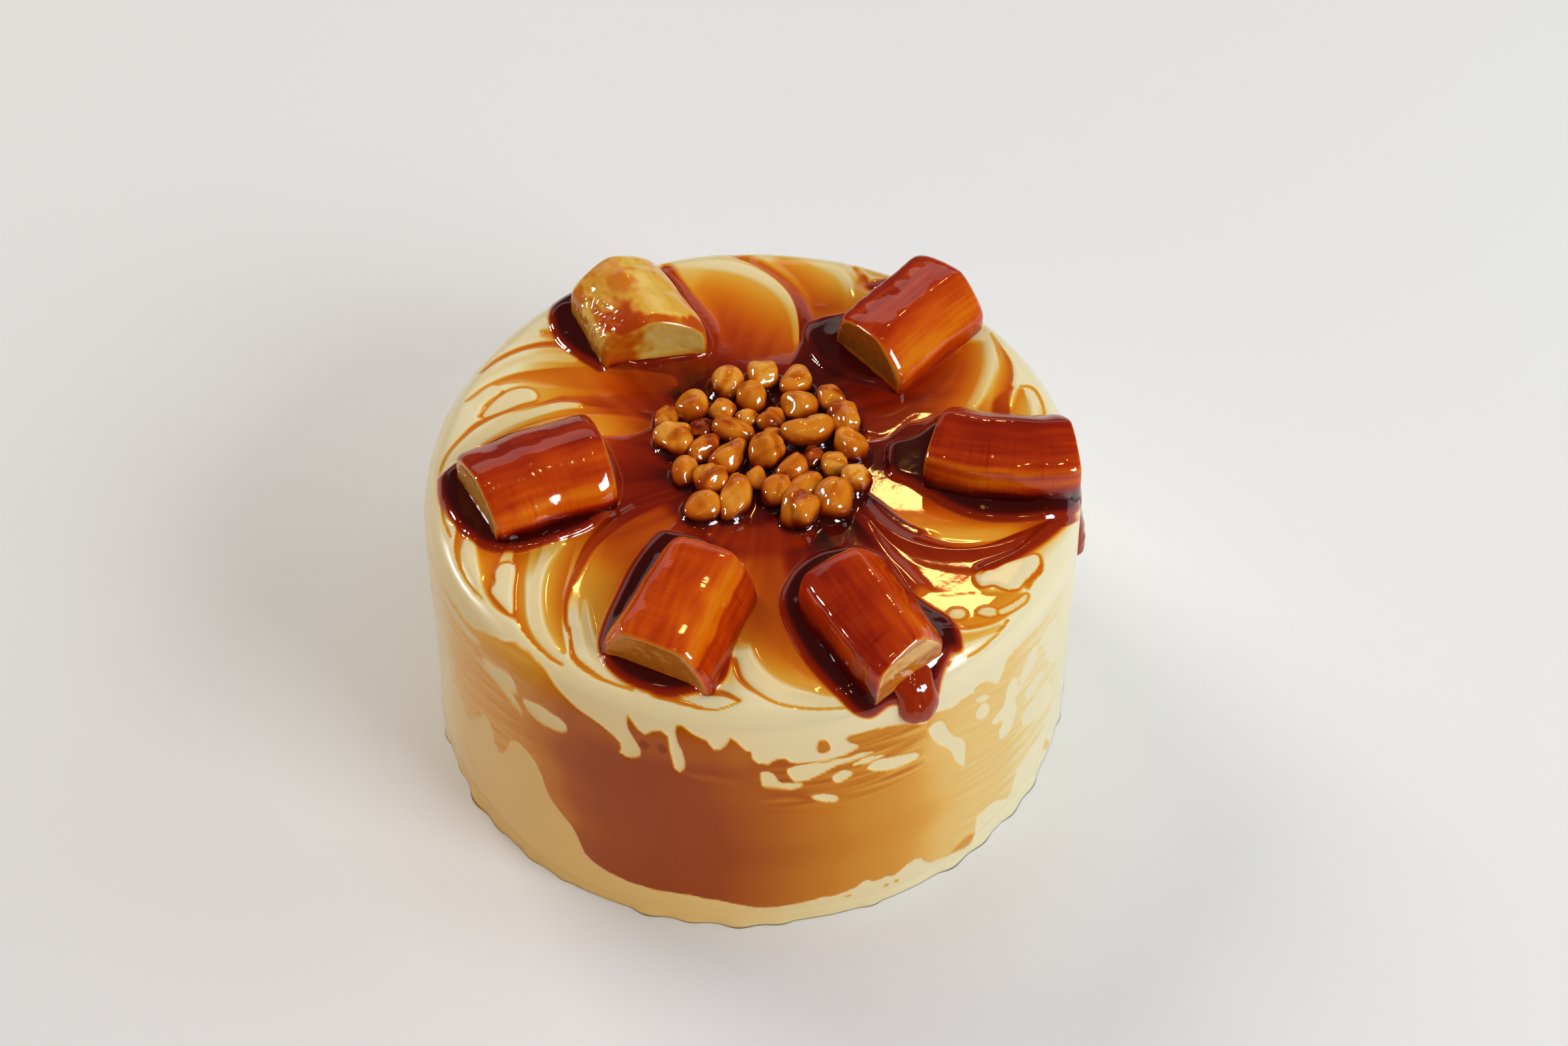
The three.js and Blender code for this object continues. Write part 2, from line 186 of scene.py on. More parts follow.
hoop = np.arange(8) / 8 * 2 * np.pi
tube = np.stack([np.stack([np.cos(hoop), np.sin(hoop), 0 * hoop + z], -1) for z in (0, 1, 2)])
print("a tube from its foot up faces", "inwards" if faces_inwards(tube) else "outwards")

# %% Faces
def grid_quads(rows, cols):
    """The corners of the faces between neighbouring rings; the last column joins the first."""
    i = np.arange(rows - 1)[:, None] * cols
    j = np.arange(cols)[None, :]
    k = (j + 1) % cols
    return np.stack([i + j, i + cols + j, i + cols + k, i + k], -1).reshape(-1, 4)


def end_fan(row, cols, middle):
    """The corners of a fan of faces that closes the ring in one row to the point in its middle."""
    ring = np.arange(cols) + row * cols
    turn = (ring, np.roll(ring, -1)) if row == 0 else (np.roll(ring, -1), ring)
    return np.stack([np.full(cols, middle), *turn], -1)


def faces_to_mesh(name, flat, quads, tris):
    """A Blender mesh in metres from points in mm and the corners of its faces."""
    mesh = bpy.data.meshes.new(name)
    loops = np.concatenate([quads.ravel(), tris.ravel()]).astype(np.int32)
    starts = np.concatenate(
        [np.arange(len(quads)) * 4, len(quads) * 4 + np.arange(len(tris)) * 3]
    )
    mesh.vertices.add(len(flat))
    mesh.vertices.foreach_set("co", (flat * 0.001).astype(np.float32).ravel())
    mesh.loops.add(len(loops))
    mesh.loops.foreach_set("vertex_index", loops)
    mesh.polygons.add(len(quads) + len(tris))
    mesh.polygons.foreach_set("loop_start", starts.astype(np.int32))
    mesh.update(calc_edges=True)
    mesh.shade_smooth()
    return mesh


print("a ring of 12 columns closes with", len(end_fan(0, 12, 12)), "triangles")

# %% A piece
def make_piece(name, points, fields, material, normals=None, ends=(False, False)):
    """A mesh object from a grid of rings in mm. fields are the numbers that its finish reads at
    each point, and ends says whether the first and the last ring close to their middle."""
    if normals is None and faces_inwards(points):
        points, ends = points[::-1], ends[::-1]
        fields = {key: v[::-1] for key, v in fields.items()}
    rows, cols = points.shape[:2]
    n = grid_normals(points) if normals is None else normals
    flat, norm = points.reshape(-1, 3), n.reshape(-1, 3)
    values = {key: v.reshape(-1).astype(np.float32) for key, v in fields.items()}
    tris = np.zeros((0, 3), int)
    for closed, row in ((ends[0], 0), (ends[1], rows - 1)):
        if closed:
            tris = np.vstack([tris, end_fan(row, cols, len(flat))])
            flat = np.vstack([flat, points[row].mean(0)])
            norm = np.vstack([norm, n[row].mean(0) / np.linalg.norm(n[row].mean(0))])
            around = slice(row * cols, (row + 1) * cols)
            values = {key: np.append(v, v[around].mean()) for key, v in values.items()}
    mesh = faces_to_mesh(name, flat, grid_quads(rows, cols), tris)
    for key, v in values.items():
        mesh.attributes.new(key, "FLOAT", "POINT").data.foreach_set("value", v)
    mesh.normals_split_custom_set_from_vertices(norm.astype(np.float32))
    mesh.materials.append(material)
    obj = bpy.data.objects.new(name, mesh)
    bpy.context.scene.collection.objects.link(obj)
    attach(obj, BODY)
    return obj


def triangles(obj):
    """How many triangles its faces make."""
    return sum(len(p.vertices) - 2 for p in obj.data.polygons)


print("every piece rides on", BODY)

# %% [markdown]
# ## Painting with caramel
#
# The colour of the top is a matter of depth: bare cream is ivory, a thin film of caramel is gold,
# and it runs through orange and red to almost black where it stands deep. Noise textures could
# never give the long swirls of a stroked icing, so the top is painted as one depth, 0 to 1, petal
# by petal from the bottom layer up, the way the pours lie on each other. The same depth later
# raises the folds, so the colour and the relief can't drift apart.

# %% Curves
def spline(points, count=32, closed=False):
    """Catmull-Rom curve: a cubic from each row of numbers to the next, which leaves every row in
    the direction from the one before to the one after. Every column is treated alike."""
    p = np.array(points, float)
    if closed:
        q = np.vstack([p[-1], p, p[:2]])
        last = len(p)
    else:
        q = np.vstack([2 * p[0] - p[1], p, 2 * p[-1] - p[-2]])
        last = len(p) - 1
    s = np.linspace(0, last - 1e-9, count)
    i = s.astype(int)
    t = (s - i)[:, None]
    a, b, c, d = q[i], q[i + 1], q[i + 2], q[i + 3]
    cubic = (2 * a - 5 * b + 4 * c - d) * t**2 + (3 * b - a - 3 * c + d) * t**3
    return 0.5 * (2 * b + (c - a) * t + cubic)


def loop_line(points, count):
    """A closed curve through the points, with its first point again at its end."""
    line = spline(points, count, closed=True)
    return np.vstack([line, line[0]])


square = loop_line([(0, 0), (10, 0), (10, 10), (0, 10)], 40)
print("a loop round a 10 mm square is", round(float(np.ptp(square[:, 0])), 1), "mm wide")

# %% Distance from a line
def from_line(line, x, y):
    """Distance from a line of short straight steps, positive on its left, and where on it the
    nearest place is, in steps: the least of the distances from each step."""
    best, side, place = np.full(x.shape, 1e9), np.ones_like(x), np.zeros_like(x)
    for i in range(len(line) - 1):
        (ax, ay), (bx, by) = line[i], line[i + 1]
        dx, dy = bx - ax, by - ay
        t = np.clip(((x - ax) * dx + (y - ay) * dy) / (dx * dx + dy * dy + 1e-12), 0, 1)
        ex, ey = x - ax - t * dx, y - ay - t * dy
        far = np.hypot(ex, ey)
        near = far < best
        best = np.where(near, far, best)
        side = np.where(near, np.where(dx * ey - dy * ex >= 0, 1.0, -1.0), side)
        place = np.where(near, i + t, place)
    return best * side, place


def inside_loop(line, x, y):
    """Distance inside a closed line, negative outside: a place is inside where a ray from it
    crosses the line an odd number of times."""
    crossings = np.zeros_like(x)
    for (ax, ay), (bx, by) in zip(line[:-1], line[1:]):
        passes = (ay > y) != (by > y)
        crossings += passes & (x < ax + (y - ay) * (bx - ax) / (by - ay + 1e-12))
    far = np.abs(from_line(line, x, y)[0])
    return np.where(crossings % 2 == 1, far, -far)


def near_line(line, x, y, pad):
    """Where x and y lie in the box round a line, widened by pad mm: only those are worked on."""
    low, high = line[:, :2].min(0) - pad, line[:, :2].max(0) + pad
    return (x > low[0]) & (x < high[0]) & (y > low[1]) & (y < high[1])


gap = inside_loop(square, np.array([5.0]), np.array([5.0]))
print("its middle lies", round(float(gap[0]), 1), "mm inside it")

# %% [markdown]
# ## Petals and patches of caramel
#
# A stroke of the palette knife leaves a petal: a band that is deep along one edge, thin along the
# other, crisp where the next stroke cut it and soft where it ran out. A patch is a splash, or what
# the pour left bare. Texture painting would need an image file; these need a few rows a stroke.

# %% Laying a petal
def lay_petal(u, x, y, rows, soft, fade=(0, 0), power=1.0):
    """Lays a petal over the depth field u: its depth goes from the left edge's to the right
    edge's, mixed in by a smooth share of the distance from its edges and ends. rows run along it:
    x, y, half width, depth left and right. soft is how far (left, right) its edges blend, in mm,
    and fade the shares of its length over which it appears and dies away."""
    row = spline(rows)
    hit = near_line(row, x, y, row[:, 2].max() + 0.5)
    if not hit.any():
        return u
    d, place = from_line(row[:, :2], x[hit], y[hit])
    reach, left, right = (np.interp(place, np.arange(len(row)), row[:, c]) for c in (2, 3, 4))
    reach = np.maximum(reach, 1e-3)
    across = np.clip(0.5 - 0.5 * d / reach, 0, 1) ** power
    fuzz = np.minimum(np.where(d > 0, *soft), reach)
    mask = 1 - smooth(np.abs(d), reach - fuzz, reach)
    share = place / (len(row) - 1)
    for v, f in ((share, fade[0]), (1 - share, fade[1])):
        if f:
            mask = mask * smooth(v, 0, f)
    out = u.copy()
    out[hit] += mask * (left + (right - left) * across - u[hit])
    return out


spots = np.linspace(0.0, 10.0, 11)
trial = lay_petal(0 * spots, spots, 0 * spots, [(5, -5, 3, 0.2, 0.8), (5, 5, 3, 0.2, 0.8)], (1, 1))
print("a petal 6 mm wide, across:", [round(float(v), 2) for v in trial])

# %% Laying a patch
def lay_patch(u, x, y, points, depth, soft=0.6, rim=None, steps=44):
    """Lays a rounded patch over u, its outline a closed curve through the points, mixed in by a
    smooth share of the distance inside it. depth is one number or one for each point, and rim the
    depth and width of the bead along its outside, a bell curve of the distance."""
    line = loop_line(points, steps)
    hit = near_line(line, x, y, 2.5)
    if not hit.any():
        return u
    d = inside_loop(line, x[hit], y[hit])
    out = u.copy()
    if rim:
        ring = np.exp(-(((d + rim[1]) / rim[1]) ** 2))
        out[hit] += ring * np.maximum(rim[0] - out[hit], 0)
    inner = depth[hit] if isinstance(depth, np.ndarray) else depth
    out[hit] += smooth(d, -soft / 2, soft / 2) * (inner - out[hit])
    return out


trial = lay_patch(0 * spots, spots, 0 * spots, [(2, -3), (8, -3), (8, 3), (2, 3)], 0.5)
print("a patch across:", [round(float(v), 2) for v in trial])

# %% [markdown]
# ## How far the pour reached
#
# The caramel was poured on the middle and ran outwards, further where the knife drew it. A plain
# circle would look machined, so its reach is a table by direction, and the petals go on top.

# %% Reach of the pour
# direction in degrees, radius of the deep caramel, radius where its film ends
SPREAD = [
    (0, 72, 104), (20, 52, 90), (38, 56, 92), (55, 60, 92), (72, 50, 96), (85, 44, 97),
    (100, 44, 97), (116, 54, 96), (130, 60, 96), (146, 42, 90), (165, 38, 84), (180, 46, 95),
    (200, 50, 95), (215, 42, 86), (232, 38, 84), (248, 50, 93), (262, 44, 95), (278, 42, 95),
    (298, 62, 98), (316, 60, 92), (330, 64, 98), (345, 72, 104), (360, 72, 104),
]
POUR_MIDDLE = (2, 1.5)
deepest = [deep for _, deep, _ in SPREAD]
print("deep caramel reaches", min(deepest), "to", max(deepest), "mm")

# %% [markdown]
# ## The petals
#
# Each gap between two bananas was stroked its own way: broad gold crests at the back, one great
# orange curl at the right, crisp cream crescents in front and thin threads at the left. The rows
# below are those strokes in the order they were laid, a later one over an earlier one, which no
# noise could give. Each is rows of x, y, half width, depth on the left and depth on the right,
# then its blend and its fade.

# %% Petals at the back
PETALS = [
    # back, left of the first crest: red in the inside, gold and cream towards the crest
    ([(-24, 46, 5, .84, .84), (-19, 66, 5, .8, .8), (-27, 90, 3.5, .78, .7)], (2, 2.5), (0, 0)),
    ([(-16, 46, 6, .82, .8), (-14, 62, 4.5, .8, .74), (-21, 78, 3, .78, .66),
     (-28, 90, 1.6, .7, .6)], (2, 1.5), (0, 0)),
    ([(6, 42, 10.5, .74, .7), (4.5, 56, 12.5, .7, .48), (0, 68, 14.5, .66, .22),
     (-8, 79, 12, .58, .1), (-18, 86, 7.5, .4, .06)], (7, .8), (.12, .1), 1.8),
    ([(15.4, 50, 1.2, .4, .3), (15.6, 60, 1.8, .26, .16), (14.0, 70, 2.4, .14, .08),
     (9.2, 79.5, 3, .08, .04), (1, 87, 3.4, .06, .02), (-10, 91, 3.2, .06, .02),
     (-24, 91.5, 2, .06, .02)], (2.4, .6), (.1, .1)),
    # between the first and the second crest
    ([(20, 50, 3.6, .84, .88), (19.5, 64, 3.2, .8, .8), (17, 76, 3.0, .7, .62),
     (11, 86, 2.6, .62, .54), (2, 94, 2.2, .6, .46), (-8, 97.5, 1.2, .52, .3)], (.6, 3), (.1, .1)),
    ([(27, 66, 7, .74, .62), (25, 78, 7.5, .6, .24), (17, 89, 6, .54, .12), (7, 95, 3, .46, .1)],
     (4, 3), (.15, .15), 1.4),
    ([(34, 73, 2.4, .24, .14), (33, 81, 2.8, .14, .03), (29, 88, 2.8, .1, .02),
     (19, 94.5, 2.4, .1, .02)], (2.2, .8), (.25, .15)),
    ([(37.5, 77, 3.6, .3, .62), (38.5, 84, 2.4, .4, .66), (35.5, 90, 1.1, .5, .3),
     (32, 93, .7, .3, .2)], (1.6, 1.2), (.3, .1)),
    ([(38, 79, 2.6, .76, .78), (43, 80.6, 3.2, .8, .8), (49, 83, 3, .8, .8)], (2, 2), (.35, 0)),
    ([(37, 89, 2.2, .12, .05), (43, 86.6, 2.8, .2, .12), (49, 85, 2.6, .2, .2)], (1.6, 1.6),
     (.3, 0)),
    # deep caramel round the nuts and at the foot of banana 2
    ([(20, 34, 10, .93, .93), (26, 52, 9, .9, .92), (32, 63, 5, .84, .9)], (2, 5), (0, .2)),
    ([(20, 38, 6, .96, .96), (36, 42, 9, .93, .97), (44, 32, 8, .92, .92)], (4, 5), (0, .2)),
]
print(len(PETALS), "petals at the back")

# %% Petals on the right
PETALS += [
    # right, beyond banana 2: dark foot, gold, cream band, crisp orange, cream
    ([(38, 26, 9, .88, .84), (50, 28, 9, .86, .78), (60, 38, 9, .84, .66), (68, 52, 7, .8, .5)],
     (5, 5), (0, .1)),
    ([(56, 21, 6.5, .74, .72), (66, 27, 7.6, .72, .34), (72, 38, 7.6, .72, .2),
     (73, 54, 6.5, .66, .12)], (5, 3), (.2, .05), 1.5),
    ([(70, 20, 2.6, .26, .12), (75.2, 30, 2.9, .16, .05), (78.2, 42, 2.9, .12, .03),
     (77.6, 58, 2.6, .08, .02)], (2.6, 1.4), (.1, 0)),
    ([(79.6, 24, 2.8, .3, .66), (82.2, 33, 3.2, .24, .66), (83.6, 41, 2.6, .22, .58),
     (82, 49, 1.6, .2, .5), (79.8, 56, .8, .1, .3)], (1.2, .5), (0, 0)),
    ([(80.4, 17, 4, .74, .7), (81, 25, 3.2, .7, .62), (84.6, 31, 1.2, .6, .6)], (2, .6), (0, 0)),
    ([(84.6, 15, 3.2, .5, .22), (86.8, 22, 3.0, .48, .2), (87.6, 29.6, 1.5, .5, .34)], (1.6, .5),
     (0, 0)),
    ([(91.4, 15, 1.6, .03, .02), (91.6, 24, 1.5, .03, .02), (90.4, 30, 1.2, .05, .02)], (.6, .6),
     (0, 0)),
    ([(94.8, 14, .7, .36, .36), (94.2, 24, .8, .34, .34), (91.6, 30.6, .8, .4, .36),
     (87, 31.4, .6, .44, .44)], (.5, .5), (0, .1)),
    # brown petal between the nuts and banana 1, gold along its lower edge
    ([(36, 17, 7, .86, .82), (46, 18, 8, .84, .76), (57, 22, 5, .8, .68)], (4, 1), (.1, .2)),
    ([(36, 11, 3, .8, .62), (42, 9.4, 2.6, .8, .56), (48, 12.6, 2.8, .8, .56),
     (54, 18.6, 2.6, .78, .58), (62, 22, 2, .74, .6)], (2.4, .5), (.1, .2)),
    ([(36, 1, 7, .9, .92), (46, 3, 7, .88, .9), (54, 8, 8.4, .86, .9)], (.8, 4), (0, 0)),
    # right front: orange petal under banana 1, its crisp lower edge, the red band beyond it
    ([(34, -6, 5, .84, .8), (44, -11, 8, .8, .66), (58, -20, 11, .74, .36),
     (74, -25, 9.5, .72, .34), (90, -25, 5, .74, .56), (99, -22, 3, .76, .7)], (5, .9),
     (.05, 0), 1.7),
    ([(52, -28.5, 3.2, .44, .3), (63, -31.2, 4.2, .36, .26), (75, -30.8, 4, .4, .28),
     (86, -27, 2.2, .56, .42)], (4, .7), (.25, .25)),
    ([(34, -18, 5.6, .88, .86), (44, -33, 5.4, .86, .8), (58, -42, 5.6, .82, .72),
     (72, -42.6, 6, .8, .7), (86, -35, 5, .8, .76), (99, -25.5, 2.6, .8, .8)], (.7, 2.2),
     (.05, 0)),
    ([(36, -36, 5, .84, .84), (48, -48, 7, .72, .78), (60, -53, 8.5, .7, .56),
     (72, -51, 5.5, .68, .5)], (3, 3), (.1, .15)),
    ([(48, -54, 4, .54, .62), (56, -60, 6, .44, .48), (66, -61, 7, .46, .36),
     (76, -59, 5.4, .44, .26), (83, -55, 2.6, .36, .22)], (2.6, .8), (.1, .1)),
    ([(58, -68, 2.2, .5, .56), (66, -68.6, 1.7, .44, .46), (75, -65.4, 1.4, .4, .36),
     (83.6, -57.4, .9, .36, .34)], (1.2, .8), (0, .1)),
    ([(60, -73.4, 2.6, .34, .14), (68, -72.6, 2.6, .28, .08), (76, -68, 1.4, .2, .1)], (1.6, 1.2),
     (0, .1)),
]
print(len(PETALS), "petals with the right")

# %% Petals in front
PETALS += [
    # front, between banana 6 and banana 5: red to orange to gold, crisp against the cream
    ([(14, -30, 8, .8, .78), (4, -33, 7, .78, .76), (-8, -30, 6, .78, .76)], (3, 3), (0, 0)),
    ([(3, -36, 8, .7, .67), (5, -52, 9, .62, .58), (10, -68, 9, .6, .55), (17, -82, 7.6, .6, .4),
     (28, -92, 4, .5, .22)], (3, 3.6), (.1, 0)),
    ([(-1, -55, 5, .61, .58), (0, -66, 5, .6, .54), (4.4, -77, 5, .55, .32),
     (11.6, -86, 4.2, .44, .18), (21, -91.6, 3, .4, .16), (30, -94, 2, .4, .2)], (2.4, 1.4),
     (.1, 0)),
    ([(-3.4, -72, 3.4, .04, .04), (-1, -82, 4.2, .04, .03), (6, -90.6, 3.6, .04, .02),
     (16, -95.4, 2.4, .04, .02), (30, -97, 1.6, .04, .02)], (.9, 1), (.15, 0)),
    ([(-4.6, -80, 1.2, .5, .56), (-2.6, -87.4, 1.3, .48, .54), (2.6, -93, .9, .38, .4),
     (9, -97, .8, .34, .36), (18, -98.9, .75, .3, .32), (31, -98.6, .7, .28, .3)], (.6, .6),
     (0, 0)),
    ([(-30, -92.6, .9, .46, .46), (-21, -95.2, 1.2, .46, .44), (-13, -98.4, .7, .42, .4),
     (-8, -98.4, .5, .4, .4), (-1.6, -95.2, .6, .42, .42)], (.5, .5), (.1, .1)),
    ([(-14, -92, 1.6, .5, .5), (-8, -92.6, 1.5, .52, .5), (-3, -95.4, .9, .48, .44)], (.7, .7),
     (0, 0)),
]
print(len(PETALS), "petals with the front")

# %% Petals on the left
PETALS += [
    # front left: a wide petal with an orange head, a cream crescent and a red band
    ([(-24, -17, 7, .66, .76), (-33, -27, 9, .58, .7), (-39, -40, 8, .6, .54),
     (-42, -54, 6.4, .58, .32), (-41, -68, 5, .52, .25)], (2.5, 3), (.1, .1)),
    ([(-40, -38, 6.4, .56, .42), (-45, -50, 6, .42, .28), (-46, -62, 5.4, .38, .2),
     (-43.6, -76, 4.2, .4, .16), (-40, -84, 2.6, .4, .2)], (3, 1.4), (.2, .1)),
    ([(-49.4, -54, 1.0, .1, .12), (-48.8, -62, 2.2, .08, .08), (-47.4, -71, 2.7, .06, .05),
     (-44, -79.6, 2.8, .05, .03), (-38, -86.4, 1.9, .05, .02)], (1.4, 1.1), (.12, .1)),
    ([(-22, -12.6, 2.8, .84, .82), (-34, -18.6, 3.4, .82, .8), (-42.4, -25.6, 3.2, .8, .74),
     (-48.4, -34, 2.4, .72, .66), (-52, -44, 1.8, .66, .62), (-54.6, -54, 1.3, .62, .6),
     (-55, -62, 1.1, .6, .58), (-54, -68, .9, .54, .5)], (.9, .7), (0, 0)),
    # further left: a cream crescent between two golden ones
    ([(-57, -33, 4.6, .52, .16), (-59, -44, 4.6, .56, .12), (-60, -56, 4.6, .54, .08),
     (-58.6, -67, 3.4, .46, .06), (-55.4, -76, 1.8, .34, .06)], (.8, 2.4), (0, 0)),
    ([(-59.6, -33, 3.8, .18, .16), (-62.6, -42, 2.5, .06, .05), (-64, -51, 2.5, .04, .04),
     (-63.6, -60, 2.6, .04, .04), (-61.6, -69, 2.6, .04, .04), (-57.4, -77.6, 2.2, .04, .03)],
     (1.4, .8), (0, 0)),
    ([(-69, -34, 3, .44, .6), (-69.8, -45, 2.7, .3, .6), (-69.4, -55, 2.6, .22, .58),
     (-67.6, -64, 1.9, .28, .54), (-63.8, -71.6, 1.2, .4, .48), (-59, -77.6, .9, .42, .44),
     (-54, -81.8, .7, .42, .38)], (1.2, .35), (0, .05)),
    ([(-53.6, -67, .7, .5, .56), (-52.8, -73, .8, .5, .56), (-51.6, -78.6, 1.2, .46, .5),
     (-47, -83.6, 1.2, .42, .42), (-41.6, -87.6, .8, .42, .38), (-34, -91, .6, .44, .4)], (.5, .5),
     (0, 0)),
    # left, between banana 4 and its crisp outer edges
    ([(-79, -33, 5.6, .6, .56), (-79.6, -43, 3.2, .56, .28), (-78.8, -51.6, 1.9, .54, .4),
     (-75, -58.6, 1.6, .52, .48), (-69.6, -63, 1.2, .5, .5)], (.8, 1.8), (0, 0)),
    ([(-88, -27, 2.4, .44, .56), (-89, -35, 1.4, .28, .5), (-87.4, -43, .8, .3, .42),
     (-84, -50, .65, .34, .4), (-79, -56.4, .5, .36, .36)], (.9, .4), (0, .1)),
    ([(-95.6, -14, .5, .3, .34), (-94.4, -22, .6, .3, .36), (-91.6, -30, .6, .34, .4)], (.4, .4),
     (.2, 0)),
    # left upper, beyond banana 4: gold tongue, bands and threads
    ([(-24, 3, 7, .84, .84), (-34, 6, 5.4, .84, .8), (-44, 10, 3, .8, .74)], (2, 2.5), (0, .2)),
    ([(-29.6, 18, 2.6, .66, .76), (-38, 17, 5.2, .52, .6), (-48, 17.6, 5.6, .3, .42),
     (-60, 17.6, 4.6, .24, .34), (-72, 13.6, 3, .2, .3)], (1.6, 2), (0, .1)),
    ([(-28, 26.6, 5, .74, .82), (-40, 27.6, 4.2, .72, .72), (-52, 28.6, 3.0, .7, .56),
     (-61, 29.6, 2.2, .7, .48)], (1.4, 1.6), (0, .1)),
    ([(-28, 35, 5.6, .8, .72), (-40, 37, 6, .69, .62), (-52, 38.4, 6, .57, .53),
     (-64, 39, 5, .4, .54), (-75, 38.6, 3, .3, .5), (-84, 35, 1.6, .3, .42),
     (-91, 28.6, .8, .3, .3)], (2.6, .8), (0, 0)),
    ([(-58, 48.4, 3.4, .12, .16), (-68, 48.2, 2.6, .05, .1), (-77, 45.6, 2.4, .03, .08),
     (-86, 38.6, 1.8, .03, .05)], (1.4, 2.2), (0, 0)),
    ([(-60, 54.6, 2.4, .6, .6), (-68, 54.4, 1.7, .56, .54), (-76, 51.6, 1.4, .5, .52),
     (-83, 46.4, 1.2, .46, .46), (-88, 40, .8, .4, .4)], (1.2, .8), (0, .1)),
    ([(-62, 59, 3.6, .4, .5), (-68, 59.4, 2.6, .24, .44), (-72, 58, 1.4, .2, .3)], (2, 2),
     (0, .2)),
    ([(-52.4, 26, 1.4, .1, .12), (-60, 26, 2.2, .05, .06), (-69, 22.8, 2.4, .04, .04),
     (-78.6, 17.6, 2.4, .04, .04), (-87, 10.4, 2.4, .03, .03), (-94, 2, 1.8, .02, .02)], (.8, .8),
     (.08, 0)),
    ([(-60, 29.6, 1.6, .62, .56), (-68, 27, 1.0, .5, .48), (-77, 24, .9, .48, .46),
     (-85.4, 19.2, 1.3, .5, .48), (-91, 12.4, 1.0, .44, .42), (-95.6, 4, .8, .4, .36),
     (-97.4, -6, .7, .34, .3)], (.6, .6), (0, .1)),
    ([(-52, 23.2, 1.4, .5, .34), (-61, 21.6, 1.0, .48, .4), (-70.4, 18, .9, .5, .4),
     (-79.4, 12.6, .9, .48, .4), (-86, 7.4, .9, .44, .4)], (.6, 1.2), (.1, .1)),
    ([(-79.2, 32.6, .9, .46, .46), (-83.6, 28.4, .7, .44, .44), (-86.4, 21.6, .8, .46, .46)],
     (.5, .5), (0, 0)),
]
print(len(PETALS), "petals in all")

# %% [markdown]
# ## Windows and threads
#
# Where the film parted, the cream shows through windows with a thin dark bead along their edge,
# and at the very end of the pour it drew out into threads. Both are laid last, because they are
# the last thing that happened as the caramel set.

# %% Windows and threads
# Windows of cream: outline, depth, blend, and depth and width of the bead along its edge.
WINDOWS = [
    ([(-86.6, -30.4), (-84.2, -33), (-83.4, -40), (-82.6, -47), (-80.8, -52.4), (-83.4, -50),
     (-86.4, -43.6), (-88, -36)], .03, .8, None),
    ([(-75.4, -41.4), (-72, -41.2), (-70.9, -44), (-71.1, -52), (-70.9, -60.8), (-74.4, -57.6),
     (-77.8, -52), (-76.6, -48.6), (-76.9, -44.6)], .02, .5, (.56, .5)),
    ([(-88.6, 28.6), (-83.6, 35.4), (-80.2, 34.4), (-80.4, 32), (-84.4, 27.6),
     (-87, 21.4)], .02, .7, None),
    ([(-78.4, 32), (-73.6, 34.2), (-69.6, 33.2), (-68.4, 29.2), (-74, 26.8), (-84.4, 21.4),
     (-83, 26.4)], .03, .7, (.5, .5)),
    ([(-74, 62), (-68.6, 60.4), (-70.4, 56.2), (-77.4, 54.4), (-80, 56)], .02, 1.2, None),
    ([(68.4, -50), (69.4, -47.8), (74, -47), (77.6, -44.8), (83, -42.4), (87.4, -40.8),
     (88.2, -44), (85.8, -48.4), (83.2, -51.4), (81, -54.2), (77.4, -54.4), (73.6, -52.6),
     (70, -53)], .02, .5, (.56, .45)),
    ([(59.6, -64.2), (60.6, -62.2), (63.4, -61.9), (64.6, -63.8), (63.2, -65.6),
     (60.6, -65.4)], .06, .4, (.5, .45)),
    ([(68.2, -63.6), (70.2, -61.6), (73.6, -62), (74.4, -63.6), (71.8, -65)], .06, .4, (.5, .4)),
    ([(74.8, -62.6), (79, -60), (83.2, -56.6), (82.6, -59.4), (78.4, -63), (75.2, -64.2)], .05, .4,
     (.48, .4)),
    ([(58.6, -79.4), (62, -79.8), (68, -76.4), (73.6, -71.6), (72.4, -71.6), (66, -74.4),
     (60.6, -77)], .04, .8, None),
]
# Threads: rows, blend and fade as for a petal.
THREADS = [
    ([(86.8, -39.4, .45, .4, .4), (88.7, -43.4, .7, .48, .48), (88, -47.4, 1.1, .52, .5),
     (84.8, -51, 1.4, .5, .44), (83.4, -55.4, 1, .42, .34)], (.45, .6), (.1, .1)),
    ([(56.6, -84, .8, .44, .44), (63.4, -80.9, .75, .36, .36), (69.6, -76, .7, .34, .34),
     (74.4, -70.4, .7, .36, .36), (77, -66.6, .6, .42, .42)], (.4, .4), (0, 0)),
]
print(len(WINDOWS), "windows and", len(THREADS), "threads")

# %% Depth on the top
def top_depth(x, y):
    """Depth of caramel on the top, 0 bare cream to 1 near black: a curve of how far out the place
    is between deep and bare in its direction, then every petal, thread and window over it."""
    shape = x.shape
    x, y = x.ravel(), y.ravel()
    turn = np.degrees(np.arctan2(y - POUR_MIDDLE[1], x - POUR_MIDDLE[0])) % 360
    spread = np.array(SPREAD, float)
    deep, end = (np.interp(turn, spread[:, 0], spread[:, c]) for c in (1, 2))
    r = np.hypot(x - POUR_MIDDLE[0], y - POUR_MIDDLE[1])
    out = (r - deep) / (end - deep)
    u = np.interp(out, [-0.6, -0.25, 0, 0.3, 0.65, 1], [0.95, 0.86, 0.78, 0.6, 0.34, 0])
    for rows, soft, fade, *power in PETALS + THREADS:
        u = lay_petal(u, x, y, rows, soft, fade, *power)
    for points, depth, soft, rim in WINDOWS:
        u = lay_patch(u, x, y, points, depth, soft, rim)
    return u.reshape(shape)


print("depth in the middle of the top", round(float(top_depth(np.zeros(1), np.zeros(1))[0]), 2))

